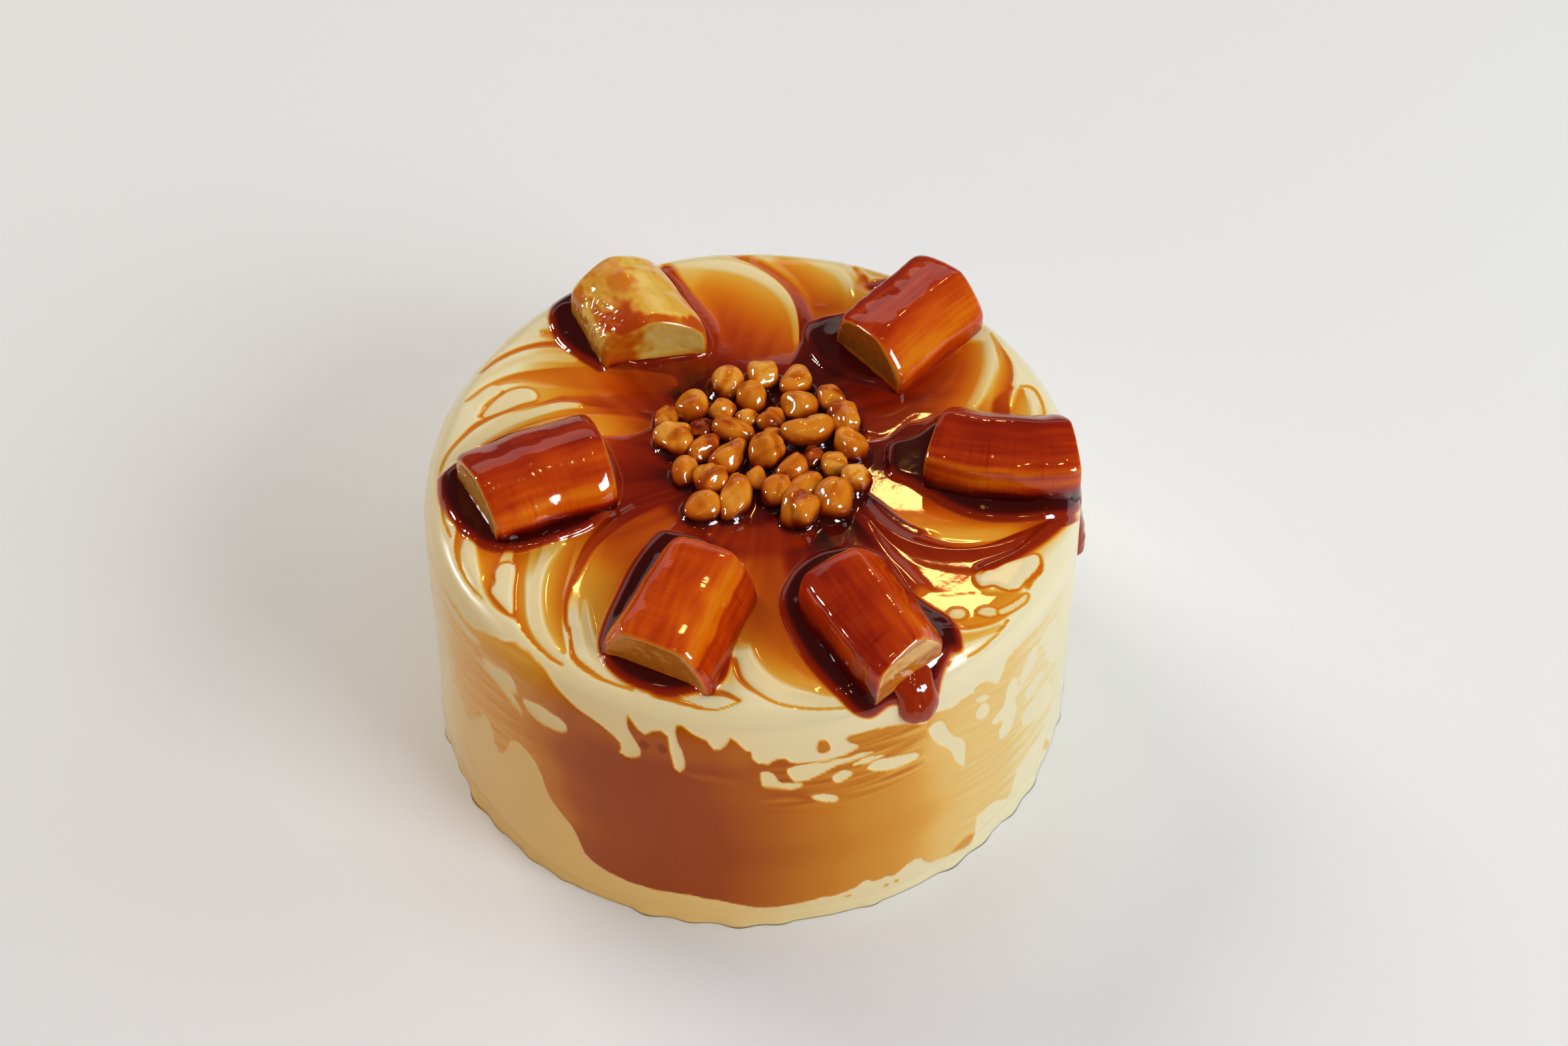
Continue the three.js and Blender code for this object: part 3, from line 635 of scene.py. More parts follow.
# %% [markdown]
# ## The glaze on the side
#
# On the side the caramel was wiped round as one band, so cream and caramel mixed there into a milky
# amber with a torn outline. A noise pattern rolled round it would look even all over, so the band
# is one closed curve on the unrolled side, by direction in degrees (-90 is the front) and level in
# mm, with the places that the wiping left bare and the splashes round it.

# %% Band
MM_PER_DEGREE = 1.815  # of the way round, at the side
# outline, by direction and level
BAND = [
    (-158, 92), (-150, 90), (-144, 92), (-141, 94), (-138, 95), (-134.5, 97.6), (-130, 97.2),
    (-126, 95.6), (-123, 93.5), (-119, 90), (-115, 87), (-112.6, 84), (-111.5, 81), (-111.8, 78),
    (-110, 76.6), (-108.3, 78), (-108.2, 82), (-109, 86), (-110, 91), (-110.3, 94.3), (-108.6, 91),
    (-107, 89), (-105.5, 91.5), (-103.5, 91), (-103, 87), (-103, 82), (-102.6, 77), (-101.3, 75.2),
    (-100.7, 79), (-100.8, 86), (-101.9, 91), (-102.2, 94.2), (-101, 94.6), (-99, 92.5),
    (-97.3, 91.2), (-95.5, 86.5), (-94.3, 88.5), (-93.2, 92), (-92, 90), (-91, 87.4),
    (-89.9, 86.4), (-89.4, 82), (-87, 80.6), (-86, 82), (-84.5, 82.2), (-83.4, 80), (-81, 79),
    (-77, 79), (-74.6, 79.6), (-72.6, 80.8), (-72.5, 82.4), (-74.2, 85.2), (-73.8, 87.6),
    (-71, 87.3), (-68, 87.5), (-65.5, 86), (-63, 84), (-61, 81), (-59.7, 80), (-58.8, 83.4),
    (-56.5, 82), (-54, 80.8), (-51.5, 82), (-50, 81), (-49.6, 83.3), (-47.5, 82.5), (-45.6, 80),
    (-44.2, 77), (-43.3, 79), (-42.6, 84), (-41.3, 85.6), (-36, 85.8), (-30, 85.6), (-24, 85),
    (-18, 82), (-14, 74), (-16, 62), (-14, 46), (-18, 30), (-24, 22), (-30, 20.6), (-35.6, 21),
    (-37.6, 14.6), (-39, 9.5), (-41, 12), (-43.4, 16), (-46, 17), (-48.4, 15.4), (-48, 9),
    (-48.6, 4.7), (-50.4, 3.9), (-53, 5.2), (-56, 8), (-59, 9.2), (-60, 13.6), (-61.4, 15.2),
    (-64, 13.6), (-65.8, 11.7), (-67.6, 13), (-69.4, 12), (-70.7, 14), (-72.2, 12.8),
    (-74.4, 10.7), (-79, 10.8), (-84, 8.9), (-90, 9.7), (-95, 12.2), (-100, 14.2), (-103, 14),
    (-106, 13.1), (-112, 14.2), (-115, 15.2), (-117.6, 16.8), (-119.5, 19.6), (-120.2, 24),
    (-121.6, 30), (-124.2, 35), (-126.6, 40), (-128, 47), (-129.4, 52.6), (-131.6, 56),
    (-134, 56.2), (-135.6, 53), (-136.6, 46), (-138.2, 42), (-139.6, 46), (-140.4, 53),
    (-142.6, 55.6), (-144.4, 50), (-146.6, 45), (-149.4, 41), (-151, 47), (-153, 50), (-156, 46),
    (-160, 52), (-163, 64), (-163, 78),
]
# direction in degrees, and how deep the band is there: darkest at the front left and paler towards
# the right, partly its own depth and partly painted light and shade
BAND_DEPTH = [
    (-165, .1), (-155, .18), (-145, .26), (-136, .3), (-130, .36), (-125, .46), (-121.5, .6),
    (-116, .67), (-105, .7), (-96, .69), (-91, .62), (-86, .55), (-81, .47), (-74, .39),
    (-66, .35), (-61.5, .31), (-56, .215), (-50, .18), (-42, .18), (-36, .13), (-26, .1),
    (-14, .06),
]
print("the band spans", BAND_DEPTH[-1][0] - BAND_DEPTH[0][0], "degrees")

# %% Bare places and splashes
# Cream left bare inside the band: outline, depth, blend.
BARE = [
    ([(-131, 80), (-127, 82), (-123, 81.6), (-121.6, 79), (-123, 75.5), (-127, 73.8),
     (-130, 75.6)], .05, .8),
    ([(-142, 82.4), (-138, 84.6), (-134, 87), (-132.4, 83), (-134, 79.4), (-138, 79)], .08, 2.0),
    ([(-150, 78), (-143, 78.6), (-136, 76), (-131.6, 72), (-134, 78.6), (-140, 80.6)], .1, 2.0),
    ([(-157, 88), (-148, 87.4), (-142, 88.6), (-146, 85), (-154, 84)], .08, 2.5),
    ([(-88.5, 77), (-86.6, 76.4), (-85.4, 71.6), (-82, 70), (-82.6, 67.8), (-86, 68),
     (-88.3, 71)], .03, .6),
    ([(-83.6, 77.8), (-79, 78.6), (-74, 78.2), (-70, 77.8), (-71.6, 76.2), (-76, 75.6), (-79, 73),
     (-82.6, 70.6), (-84, 74)], .03, .6),
    ([(-77, 70.4), (-76, 72.4), (-74.2, 72), (-73.5, 69.4), (-76, 67.8)], .03, .5),
    ([(-73.4, 74), (-70.6, 75.4), (-67.6, 74.4), (-70, 72.6)], .05, .6),
    ([(-70.8, 70.4), (-68.6, 73), (-66, 71.6), (-62, 68.8), (-61.4, 65.6), (-65, 65.6),
     (-69, 67.4)], .04, .6),
    ([(-80.3, 62.8), (-79.2, 64.2), (-77.4, 63.4), (-75.8, 61), (-76.2, 59),
     (-78.8, 60.6)], .04, .5),
    ([(-59.6, 76.6), (-57.2, 78.2), (-55.8, 73), (-54, 67), (-52.2, 62), (-51.4, 55),
     (-51.6, 48.4), (-53.2, 53), (-55, 61), (-57.8, 69)], .02, .7),
    ([(-49.2, 71), (-47.4, 72.4), (-46, 67), (-47.4, 65.2), (-49, 67.6)], .02, .8),
    ([(-49.4, 77), (-47.4, 76.4), (-46.4, 73.6), (-48.4, 74.4)], .02, .8),
    ([(-45, 61), (-42.2, 63), (-41.6, 70.6), (-39.6, 72), (-38.6, 66), (-37, 63), (-38.8, 59.6),
     (-38.4, 54), (-39.4, 46.6), (-42, 46), (-43, 51), (-42.4, 56), (-44.8, 58)], .01, .8),
    ([(-37.6, 70), (-36, 73), (-34.4, 76.8), (-32.6, 74), (-33, 67.6), (-36, 64.4),
     (-37.8, 66)], .01, 1.2),
    ([(-35.4, 57), (-31, 57.6), (-29, 53), (-34, 51.6)], .01, 1.5),
    ([(-31.8, 76), (-28.6, 76), (-24, 71), (-26, 68), (-30.6, 71.4)], .01, 1.4),
    ([(-29, 66), (-25, 67), (-21, 58), (-20, 46), (-24, 50), (-28, 60)], .01, 2.0),
    ([(-35, 46), (-30, 47), (-25, 40), (-24, 30), (-30, 34), (-35, 40)], .02, 2.5),
]
# Amber outside the band, or darker patches in it.
SPLASHES = [
    ([(-79.4, 85), (-78.8, 88.4), (-77.6, 88), (-77.2, 83.4), (-78.8, 83)], .44, .6),
    ([(-108.4, 84), (-107.6, 86.6), (-106.4, 85), (-107.2, 82.6)], .74, 1.6),
    ([(-105.2, 85), (-104.2, 87), (-103.3, 84.6), (-104.4, 82.6)], .74, 1.6),
    ([(-101, 75.6), (-97, 75), (-92, 73), (-87, 69.6), (-82, 66), (-80, 62), (-84, 64.6),
     (-90, 69), (-96, 72)], .6, 2.4),
    ([(-74.6, 8), (-74, 8.7), (-73.4, 8), (-74, 7.3)], .36, .5),
    ([(-67.8, 8), (-67.3, 8.7), (-66.7, 8), (-67.3, 7.3)], .34, .5),
    ([(-65.9, 8), (-65.4, 8.7), (-64.8, 8), (-65.4, 7.3)], .34, .5),
    ([(-26.6, 9.6), (-25, 11.6), (-23.4, 8), (-22, 2.4), (-24, 3.6)], .2, 1.2),
    ([(-54, 7.4), (-51, 10), (-48.8, 9), (-49, 5), (-51.4, 4.6)], .36, 2.0),
]
print(len(BARE), "bare places and", len(SPLASHES), "splashes")

# %% Wiped strands
def unroll(outline):
    """Directions in degrees turned into mm round the side."""
    return [(degrees * MM_PER_DEGREE, z) for degrees, z in outline]


def wiped_strands(x, y, seed, across=2.6, length=34.0, count=14):
    """Streaky noise around 0: a sum of sine waves that run slowly along x and quickly along y."""
    rng = np.random.default_rng(seed)
    total = np.zeros_like(x)
    for _ in range(count):
        ky = 2 * np.pi / (across * rng.uniform(0.7, 3.0))
        kx = 2 * np.pi / (length * rng.uniform(0.7, 3.0)) * rng.choice([-1, 1])
        total += np.sin(kx * x + ky * y + rng.uniform(0, 2 * np.pi))
    return total / math.sqrt(count)


print("one turn of the side is", round(360 * MM_PER_DEGREE), "mm long in the drawing")

# %% [markdown]
# ## Depth of the side glaze
#
# Three things vary over the band: its depth by direction, partly its own and partly painted
# light, strands where the knife dragged cream into it, and a darker bead where it ended. They are
# added in that order, then the bare places and splashes go over them, and last a painted shade: a
# faint yellowing round the left, where the side is in shade and lit only by warm bounce light.

# %% Depth inside the band
def band_shade(x, z, degrees):
    """Depth inside the band: its table by direction, with its laps, strands and a paler top."""
    table = np.array(BAND_DEPTH)
    lap = 1.6 * np.sin(0.11 * z + 0.6) + 0.7 * np.sin(0.31 * z)
    shade = np.interp(degrees + lap, table[:, 0], table[:, 1])
    mixed = smooth(degrees, -92, -84) * (1 - smooth(degrees, -64, -58)) * smooth(z, 54, 64)
    wiped = smooth(degrees, -58, -50) + (1 - smooth(degrees, -134, -126))
    slope = 0.25 * x * (degrees > -60) - 0.1 * x * (degrees < -120)
    streaks = wiped_strands(x, z + slope, 5)
    shade = shade + 0.075 * mixed * (streaks + 0.6) + 0.022 * wiped * streaks
    paler = smooth(degrees, -124, -116) * (1 - smooth(degrees, -92, -88))
    return shade - 0.09 * smooth(z, 76, 84) * paler


front = band_shade(np.array([-163.0]), np.array([45.0]), np.array([-90.0]))
print("depth in the middle of the front", round(float(front[0]), 2))

# %% Depth on the side
BAND_POINTS = 190  # steps along the outline of the band, enough for its smallest teeth
BARE_BEAD = (0.34, 0.4)  # depth and width of the bead round a crisp bare place


def side_depth(turn, z):
    """Depth of the glaze on the side, by direction in radians and level in mm: the band's depth
    inside its outline, more along its edge, none at its two ends, then patches and a painted shade
    that yellows the left."""
    shape = z.shape
    degrees = ((np.degrees(turn) + 270) % 360 - 270 + 0 * z).ravel()
    z = z.ravel()
    x = degrees * MM_PER_DEGREE
    zz = z + 0.25 * np.sin(0.31 * x + 1.3) + 0.12 * np.sin(0.83 * x + 0.4 * z)
    xx = x + 0.3 * np.sin(0.45 * z + 0.1 * x)
    shade = band_shade(x, z, degrees)
    none = np.zeros_like(x)
    u = lay_patch(none, xx, zz, unroll(BAND), shade, 0.7, None, BAND_POINTS)
    inner = lay_patch(none, xx, zz, unroll(BAND), np.ones_like(x), 3.0, None, BAND_POINTS)
    bead = np.exp(-(((inner - 0.35) / 0.3) ** 2)) * (u > 0.02)
    u = u + 0.10 * bead * smooth(shade, 0.1, 0.3)
    u = u * smooth(degrees, -167, -150) * (1 - smooth(degrees, -26, -12))
    for outline, depth, soft in BARE:
        crisp = BARE_BEAD if soft < 0.7 else None
        u = lay_patch(u, xx, zz, unroll(outline), depth, soft, crisp)
    for outline, depth, soft in SPLASHES:
        u = lay_patch(u, xx, zz, unroll(outline), depth, soft)
    # painted shade: a faint yellowing round the left, where the side is in shade and lit only by
    # warm bounce, weaker towards the top
    painted_left_shade = 0.15 * smooth(degrees, -172, -150) * (1 - smooth(degrees, -104, -56))
    return np.maximum(u, painted_left_shade * (1 - 0.8 * smooth(z, 60, 97))).reshape(shape)


back = side_depth(np.radians([90.0]), np.array([45.0]))
print("depth in the middle of the back", round(float(back[0]), 2))

# %% [markdown]
# ## Making a finish
#
# A material is a tree of nodes, which could be clicked together by hand. In a script, one function
# that adds a node, sets it and links it is enough for every kind, and keeps a finish readable.

# %% Nodes
def linear(code):
    """sRGB hex to the linear numbers that Blender's sockets take: each channel over 12.92 where it
    is dark, and else the power 2.4 of itself plus 0.055 over 1.055."""
    v = np.array([int(code[i : i + 2], 16) / 255 for i in (0, 2, 4)])
    v = np.where(v <= 0.04045, v / 12.92, ((v + 0.055) / 1.055) ** 2.4)
    return (*v, 1.0)


def new_finish(name):
    """A material with an empty node tree."""
    material = bpy.data.materials.new(name)
    material.use_nodes = True
    material.node_tree.nodes.clear()
    return material


def add_node(material, kind, sockets, settings=None, stops=()):
    """Adds a node. sockets gives inputs, by name or number, a value or the output to link from,
    settings are the node's own choices, and stops the places and colours along a colour ramp."""
    tree = material.node_tree
    node = tree.nodes.new("ShaderNode" + kind)
    for key, value in (settings or {}).items():
        setattr(node, key, value)
    for key, value in sockets.items():
        if isinstance(value, bpy.types.NodeSocket):
            tree.links.new(value, node.inputs[key])
        else:
            node.inputs[key].default_value = value
    while stops and len(node.color_ramp.elements) < len(stops):
        node.color_ramp.elements.new(1.0)
    for number, (place, code) in enumerate(stops):
        node.color_ramp.elements[number].position = place
        node.color_ramp.elements[number].color = linear(code)
    return node.outputs


print("mid grey 808080 is", round(float(linear("808080")[0]), 3), "in linear light")

# %% [markdown]
# ## Finish: caramel poured over icing
#
# Icing is whipped cream cheese or butter, smoothed with a knife: soft, ivory, a little
# translucent, with a broad sheen. Caramel is cooked sugar, a clear amber liquid that levels
# itself, so it mirrors the window sharply, and it darkens with depth as tea does. Glass over
# cream could be traced as two layers, but the layer is mostly thinner than a millimetre, so one
# surface whose colour and gloss follow its depth gives the eye the same for less.

# %% Colours of caramel
DEPTH_COLOURS = [
    (0.0, "EDE2B8"), (0.06, "E9D296"), (0.12, "E6C068"), (0.20, "E4AC42"), (0.28, "E29F30"),
    (0.36, "DE8E20"), (0.44, "D87A14"), (0.52, "CF680C"), (0.60, "C35108"), (0.68, "AA3A05"),
    (0.76, "962804"), (0.84, "7E1804"), (0.92, "540C05"), (1.0, "240404"),
]
# The band on the side is caramel wiped into cream, so it is milkier at the same depth.
MILKY_COLOURS = [
    (0.0, "EFE5BE"), (0.09, "ECDCA4"), (0.17, "E9C778"), (0.26, "E8B458"), (0.34, "DA9A34"),
    (0.42, "CC8018"), (0.50, "C0700E"), (0.60, "B05A08"), (0.70, "9C4406"), (0.85, "6E2404"),
]
print(len(DEPTH_COLOURS), "colours from cream to black, and", len(MILKY_COLOURS), "milky ones")

# %% Caramel over icing: colour
icing = new_finish("caramel poured over cream icing")
depth = add_node(icing, "Attribute", {}, {"attribute_name": "depth"})["Fac"]
milk = add_node(icing, "Attribute", {}, {"attribute_name": "milkiness"})["Fac"]
clear = add_node(icing, "ValToRGB", {0: depth}, stops=DEPTH_COLOURS)[0]
milky = add_node(icing, "ValToRGB", {0: depth}, stops=MILKY_COLOURS)[0]
layered = add_node(icing, "Mix", {0: milk, 6: clear, 7: milky}, {"data_type": "RGBA"})[2]
print("colour mixed from", len(icing.node_tree.nodes), "nodes")

# %% [markdown]
# ## The same finish: gloss and ripple
#
# The knife leaves icing rough (0.26) and caramel levels to a mirror (0.07). Only cream scatters
# light inside, over about 4 mm. Poured sugar keeps a slow ripple: the noise has about one bump
# for each unit of its scale, so 150 to the metre is one in 6.7 mm, and it is only 0.07 mm high,
# enough to break the edge of a reflection. It fades out on bare cream, which is matt anyway.

# %% Caramel over icing: gloss
RIPPLES_PER_METRE = 150.0  # one in 6.7 mm
RIPPLE_HEIGHT = 0.00007  # metres
# Map Range's inputs 1 to 4 are: from least, from most, to least, to most.
gloss = add_node(icing, "MapRange", {0: milk, 1: 0.0, 2: 1.0, 3: 0.5, 4: 0.16})[0]
rough = add_node(icing, "MapRange", {0: depth, 1: 0.03, 2: 0.16, 3: 0.26, 4: 0.07})[0]
scatter = add_node(icing, "MapRange", {0: depth, 1: 0.0, 2: 0.5, 3: 0.25, 4: 0.0})[0]
rippled = add_node(icing, "MapRange", {0: depth, 1: 0.1, 2: 0.5, 3: 0.1, 4: 1.0})[0]
place = add_node(icing, "TexCoord", {})["Object"]
ripple = add_node(
    icing, "TexNoise", {"Vector": place, "Scale": RIPPLES_PER_METRE, "Detail": 3.0}
)[0]
dents = add_node(
    icing, "Bump", {"Strength": rippled, "Distance": RIPPLE_HEIGHT, "Height": ripple}
)[0]
surface = add_node(icing, "BsdfPrincipled", {
    "Base Color": layered, "IOR": 1.46, "Specular IOR Level": gloss, "Roughness": rough,
    "Subsurface Weight": scatter, "Subsurface Scale": 0.004,
    "Subsurface Radius": (1.0, 0.7, 0.4), "Normal": dents,
})[0]
add_node(icing, "OutputMaterial", {"Surface": surface})
print(icing.name, "- one ripple in", round(1000 / RIPPLES_PER_METRE, 1), "mm")

# %% [markdown]
# ## Finish: glazed banana
#
# Banana is soft and fibrous and drinks up sugar, so a dipped piece is deep amber where the glaze
# is thin over a ridge and black-red where it ran together. The outside is one clear wet skin
# (roughness 0.07, and the 1.47 of strong syrup). A clear coat over a duller base would do, but it
# greys the darks with a second reflection, so the sugar itself is the surface. The fibres are in
# the shape and in the depth, so no pattern is needed. The first colours are those of cut ends.

# %% Glazed banana
GLAZE_COLOURS = [
    (0.0, "EFD08E"), (0.08, "E4B868"), (0.16, "CC8A38"), (0.24, "B06A20"), (0.32, "E07C0C"),
    (0.40, "D86206"), (0.48, "C64604"), (0.56, "AC2E04"), (0.64, "921E04"), (0.74, "701004"),
    (0.85, "460A05"), (0.93, "2A0506"), (1.0, "180204"),
]
glazed = new_finish("banana glazed with caramel")
glaze = add_node(glazed, "Attribute", {}, {"attribute_name": "depth"})["Fac"]
amber = add_node(glazed, "ValToRGB", {0: glaze}, stops=GLAZE_COLOURS)[0]
surface = add_node(
    glazed, "BsdfPrincipled", {"Base Color": amber, "Roughness": 0.07, "IOR": 1.47}
)[0]
add_node(glazed, "OutputMaterial", {"Surface": surface})
print("finish:", glazed.name)

# %% [markdown]
# ## Finish: pale banana
#
# One piece was hardly dipped: it shows raw, creamy yellow banana, cut with a knife and only wetted
# with thin syrup, so it is a little less glossy (0.12) and its splashes are the caramel's amber.
# It could share the glaze's ramp at low depths, but those colours belong to cooked flesh.

# %% Pale banana
PALE_COLOURS = [
    (0.0, "F2DC8E"), (0.15, "ECCB68"), (0.3, "E3AC3C"), (0.45, "DA861C"), (0.6, "CA580C"),
    (0.75, "B23A08"), (0.9, "6A1608"), (1.0, "300808"),
]
pale = new_finish("pale banana with splashes of caramel")
splash = add_node(pale, "Attribute", {}, {"attribute_name": "depth"})["Fac"]
yellow = add_node(pale, "ValToRGB", {0: splash}, stops=PALE_COLOURS)[0]
surface = add_node(
    pale, "BsdfPrincipled", {"Base Color": yellow, "Roughness": 0.12, "IOR": 1.45}
)[0]
add_node(pale, "OutputMaterial", {"Surface": surface})
print("finish:", pale.name)

# %% [markdown]
# ## Finish: caramelised nut
#
# Roasted nuts turned in hot sugar: golden where the coat is thin, mahogany in the creases. The
# sugar sets in low beads, which break a highlight into several small ones. One noise bump in
# 3 mm, a third of a nut, draws them (330 to the metre), 0.22 mm high. Modelling the beads would
# cost each nut ten times its faces.

# %% Caramelised nut
BEADS_PER_METRE = 330.0  # one in 3 mm
BEAD_HEIGHT = 0.00022  # metres
NUT_COLOURS = [
    (0.0, "F2B450"), (0.16, "E28C20"), (0.32, "CC6A09"), (0.46, "AE4804"), (0.60, "8A2C04"),
    (0.76, "5A1204"), (0.9, "340705"), (1.0, "200404"),
]
nutty = new_finish("caramelised nut")
roast = add_node(nutty, "Attribute", {}, {"attribute_name": "depth"})["Fac"]
toffee = add_node(nutty, "ValToRGB", {0: roast}, stops=NUT_COLOURS)[0]
spot = add_node(nutty, "TexCoord", {})["Object"]
beaded = add_node(
    nutty, "TexNoise", {"Vector": spot, "Scale": BEADS_PER_METRE, "Detail": 1.0}
)[0]
knobbly = add_node(
    nutty, "Bump", {"Strength": 1.0, "Distance": BEAD_HEIGHT, "Height": beaded}
)[0]
surface = add_node(nutty, "BsdfPrincipled", {
    "Base Color": toffee, "Roughness": 0.09, "IOR": 1.5, "Normal": knobbly,
})[0]
add_node(nutty, "OutputMaterial", {"Surface": surface})
print("finish:", nutty.name)

# %% [markdown]
# ## Where the bananas lie
#
# A banana piece is a bent half-log, so its outline on the top is a curved oblong, and the caramel
# stands round it in a pool. Pieces, pools and shading must agree, so all of them ask one small
# object where a place is: how far along the piece and to its side. Offsetting the oblong would
# give pools too, but the real ones spill out further on one side, so each has its own outline.

# %% Pools on the plan
# outline of the caramel standing round each piece
POOLS = [
    [(44, -7), (51, -12), (59, -19.5), (69, -25.6), (80, -27.4), (91, -26.6), (99, -25.4),
     (103.4, -20), (104.4, -10), (103.6, 3), (98, 12), (80, 18.6), (64, 20.4), (58, 15.6),
     (52, 10), (44, 6)],
    [(47, 30.6), (51.4, 31.4), (56, 36), (64, 44), (72.6, 54), (78, 63), (76, 76), (66, 90),
     (52, 88), (42, 77), (34, 68), (24, 65), (18.6, 60), (19, 50), (24, 41), (34, 34.6)],
    [(-48, 41.4), (-44.6, 42.6), (-36, 42), (-26, 44.4), (-16, 46.8), (-12, 51), (-13.4, 60),
     (-20, 74), (-28, 89), (-45, 96), (-57, 84), (-64.6, 74.8), (-66.2, 67), (-63.6, 57),
     (-58, 49.4), (-51, 43.6)],
    [(-95.6, -3), (-97.2, -9), (-95.6, -17), (-90.8, -25.4), (-84.8, -32.2), (-79, -35.8),
     (-71.6, -36.6), (-64, -34.8), (-56, -31.4), (-49, -27.6), (-44.4, -22.4), (-40.6, -16),
     (-40, -8), (-42.4, 2), (-46.6, 12), (-52, 19), (-64, 18), (-80, 11.6)],
    [(-22, -29.4), (-27, -28.6), (-31.6, -34), (-36.4, -43), (-40.2, -54), (-43.4, -64),
     (-44.9, -72), (-43.8, -79), (-39.4, -86), (-33, -90.8), (-26, -93.6), (-19, -94),
     (-12, -92.2), (-7.6, -88.8), (-5.6, -83), (-4.8, -76), (-4, -68), (-1, -60), (.6, -52),
     (-3, -44), (-9, -37), (-15, -31.4)],
    [(29, -36.6), (20, -39.4), (13.4, -45.6), (9.4, -54), (9.2, -62), (11.8, -71), (15.6, -80),
     (20.4, -88), (26, -96), (30.6, -101.4), (35.4, -102.4), (40.4, -98.4), (43.6, -98.4),
     (47.4, -101.6), (51.4, -101.4), (54.4, -96.4), (56.4, -88), (59.4, -80.6), (62.8, -78),
     (62.8, -72), (60.2, -65.4), (54.4, -60.4), (48.4, -54), (44.2, -45.4), (40.4, -40),
     (35, -36.8)],
]


def inside_outline(points, x, y):
    """Distance inside a closed curve through the points, negative outside, and 20 mm outside at
    the most, so that places far from it cost nothing."""
    line = loop_line(points, 90)
    out = np.full(x.shape, -20.0)
    hit = near_line(line, x, y, 6)
    out[hit] = inside_loop(line, x[hit], y[hit])
    return out


print(len(POOLS), "pools")

# %% Places of the bananas
class BananaPlace:
    """A banana's place on the top: points by share along it and mm to its left."""

    def __init__(self, spec, pool):
        self.start = np.array(spec["inner"], float)
        reach = np.array(spec["outer"], float) - self.start
        self.length = float(np.hypot(*reach))
        self.along = reach / self.length
        self.left = np.array([-self.along[1], self.along[0]])
        self.width, self.bend, self.pool = spec["width"], math.radians(spec["bend"]), pool
        self.sag = self.length * self.bend / 8  # how far its middle bows out of the straight
        self.middle = np.array(self.at(0.5, 0.0))

    def at(self, share, aside):
        """A point on the plan: along a parabola from end to end, then aside, turned as it bends."""
        bow = -4 * self.sag * share * (1 - share)
        lean = self.bend * (share - 0.5)
        forward = share * self.length - aside * np.sin(lean)
        across = bow + aside * np.cos(lean)
        return (
            self.start[0] + self.along[0] * forward + self.left[0] * across,
            self.start[1] + self.along[1] * forward + self.left[1] * across,
        )

    def frame(self, x, y):
        """Forward and aside from the middle, in mm."""
        dx, dy = x - self.middle[0], y - self.middle[1]
        return dx * self.along[0] + dy * self.along[1], dx * self.left[0] + dy * self.left[1]

    def outside(self, x, y):
        """Distance outside the piece's footprint, negative inside: that of a bent oblong."""
        f, a = self.frame(x, y)
        a = a - (4 * self.sag * (f / self.length) ** 2)
        df, da = np.abs(f) - self.length / 2, np.abs(a) - self.width / 2
        return np.hypot(np.maximum(df, 0), np.maximum(da, 0)) + np.minimum(np.maximum(df, da), 0)


banana_places = [BananaPlace(spec, pool) for spec, pool in zip(BANANAS, POOLS)]
print("banana lengths", [round(b.length, 1) for b in banana_places])

# %% [markdown]
# ## The body: its side and foot
#
# The icing was spread round with a knife, so the side isn't a true cylinder: it bulges a little in
# front and waves by a few tenths of a millimetre, and at the bottom the soft cream settled into
# small feet. A cylinder with a Displace modifier would give waves too, but a radius worked out
# from direction and level can be asked for anywhere, and the drips need it again later.

# %% Side and foot
FOOT_RISE = 3.5  # mm, how far up the feet reach
CREASE_LEVEL = 5.4  # mm


def side_radius(turn, level):
    """Radius of the side: from the foot's to the top's by level, slid sideways with the cosine of
    the direction, with a belly in front and a sum of slow waves."""
    share = level / CAKE_HEIGHT
    lean = lerp(FOOT_RADIUS, TOP_RADIUS, share)
    slide = lerp(-TOP_SHIFT, TOP_SHIFT, share) * np.cos(turn)
    belly = 0.9 * np.maximum(0, -np.sin(turn)) * (1 - share)
    uneven = 0.3 * np.sin(3 * turn + 1.2) + 0.25 * np.sin(5 * turn + 4 * share)
    uneven = uneven + 0.15 * np.cos(11 * turn - 7 * share)
    return lean + slide + belly + uneven


def foot_flare(turn, level):
    """Small feet where the icing settled, a sum of waves that fades with the square of the level,
    and above them a soft crease, a bell curve of the level."""
    lobes = 0.2 + 0.5 * np.sin(7 * turn + 0.7) + 0.5 * np.sin(19 * turn)
    lobes = np.clip(lobes + 0.5 * np.sin(46 * turn + 1), 0, 1.6)
    crease = np.exp(-((level - CREASE_LEVEL - 0.8 * np.sin(7 * turn)) ** 2))
    return 1.1 * lobes * np.maximum(0, 1 - level / FOOT_RISE) ** 2 - 0.35 * crease


under_rim = side_radius(np.linspace(0, 2 * np.pi, 361), CAKE_HEIGHT - RIM_FILLET)
print("radius under the rim", under_rim.min().round(1), "to", under_rim.max().round(1), "mm")

# %% [markdown]
# ## Folds of the swirl
#
# The knife left folds in the top, and the caramel ran into them: a crest shows bare cream, thin
# caramel lies in the hollow, and thick caramel is round on top again. So the height is read from
# the depth itself, where a displacement texture would have to be lined up by hand.

# %% Folds and strands
def swirl_height(u):
    """Height in mm by depth: falls off from cream as a decaying curve, and rises again by a smooth
    step where the caramel is thick."""
    return 1.0 * np.exp(-u / 0.2) - 0.2 + 0.45 * smooth(u, 0.55, 0.9)


def blur(values, passes):
    """Softens a grid of rings: each value becomes half itself and half its neighbours' mean."""
    v = values.copy()
    for _ in range(passes):
        v = 0.5 * v + 0.25 * (np.roll(v, 1, 1) + np.roll(v, -1, 1))
        v[1:-1] = 0.5 * v[1:-1] + 0.25 * (v[:-2] + v[2:])
    return v


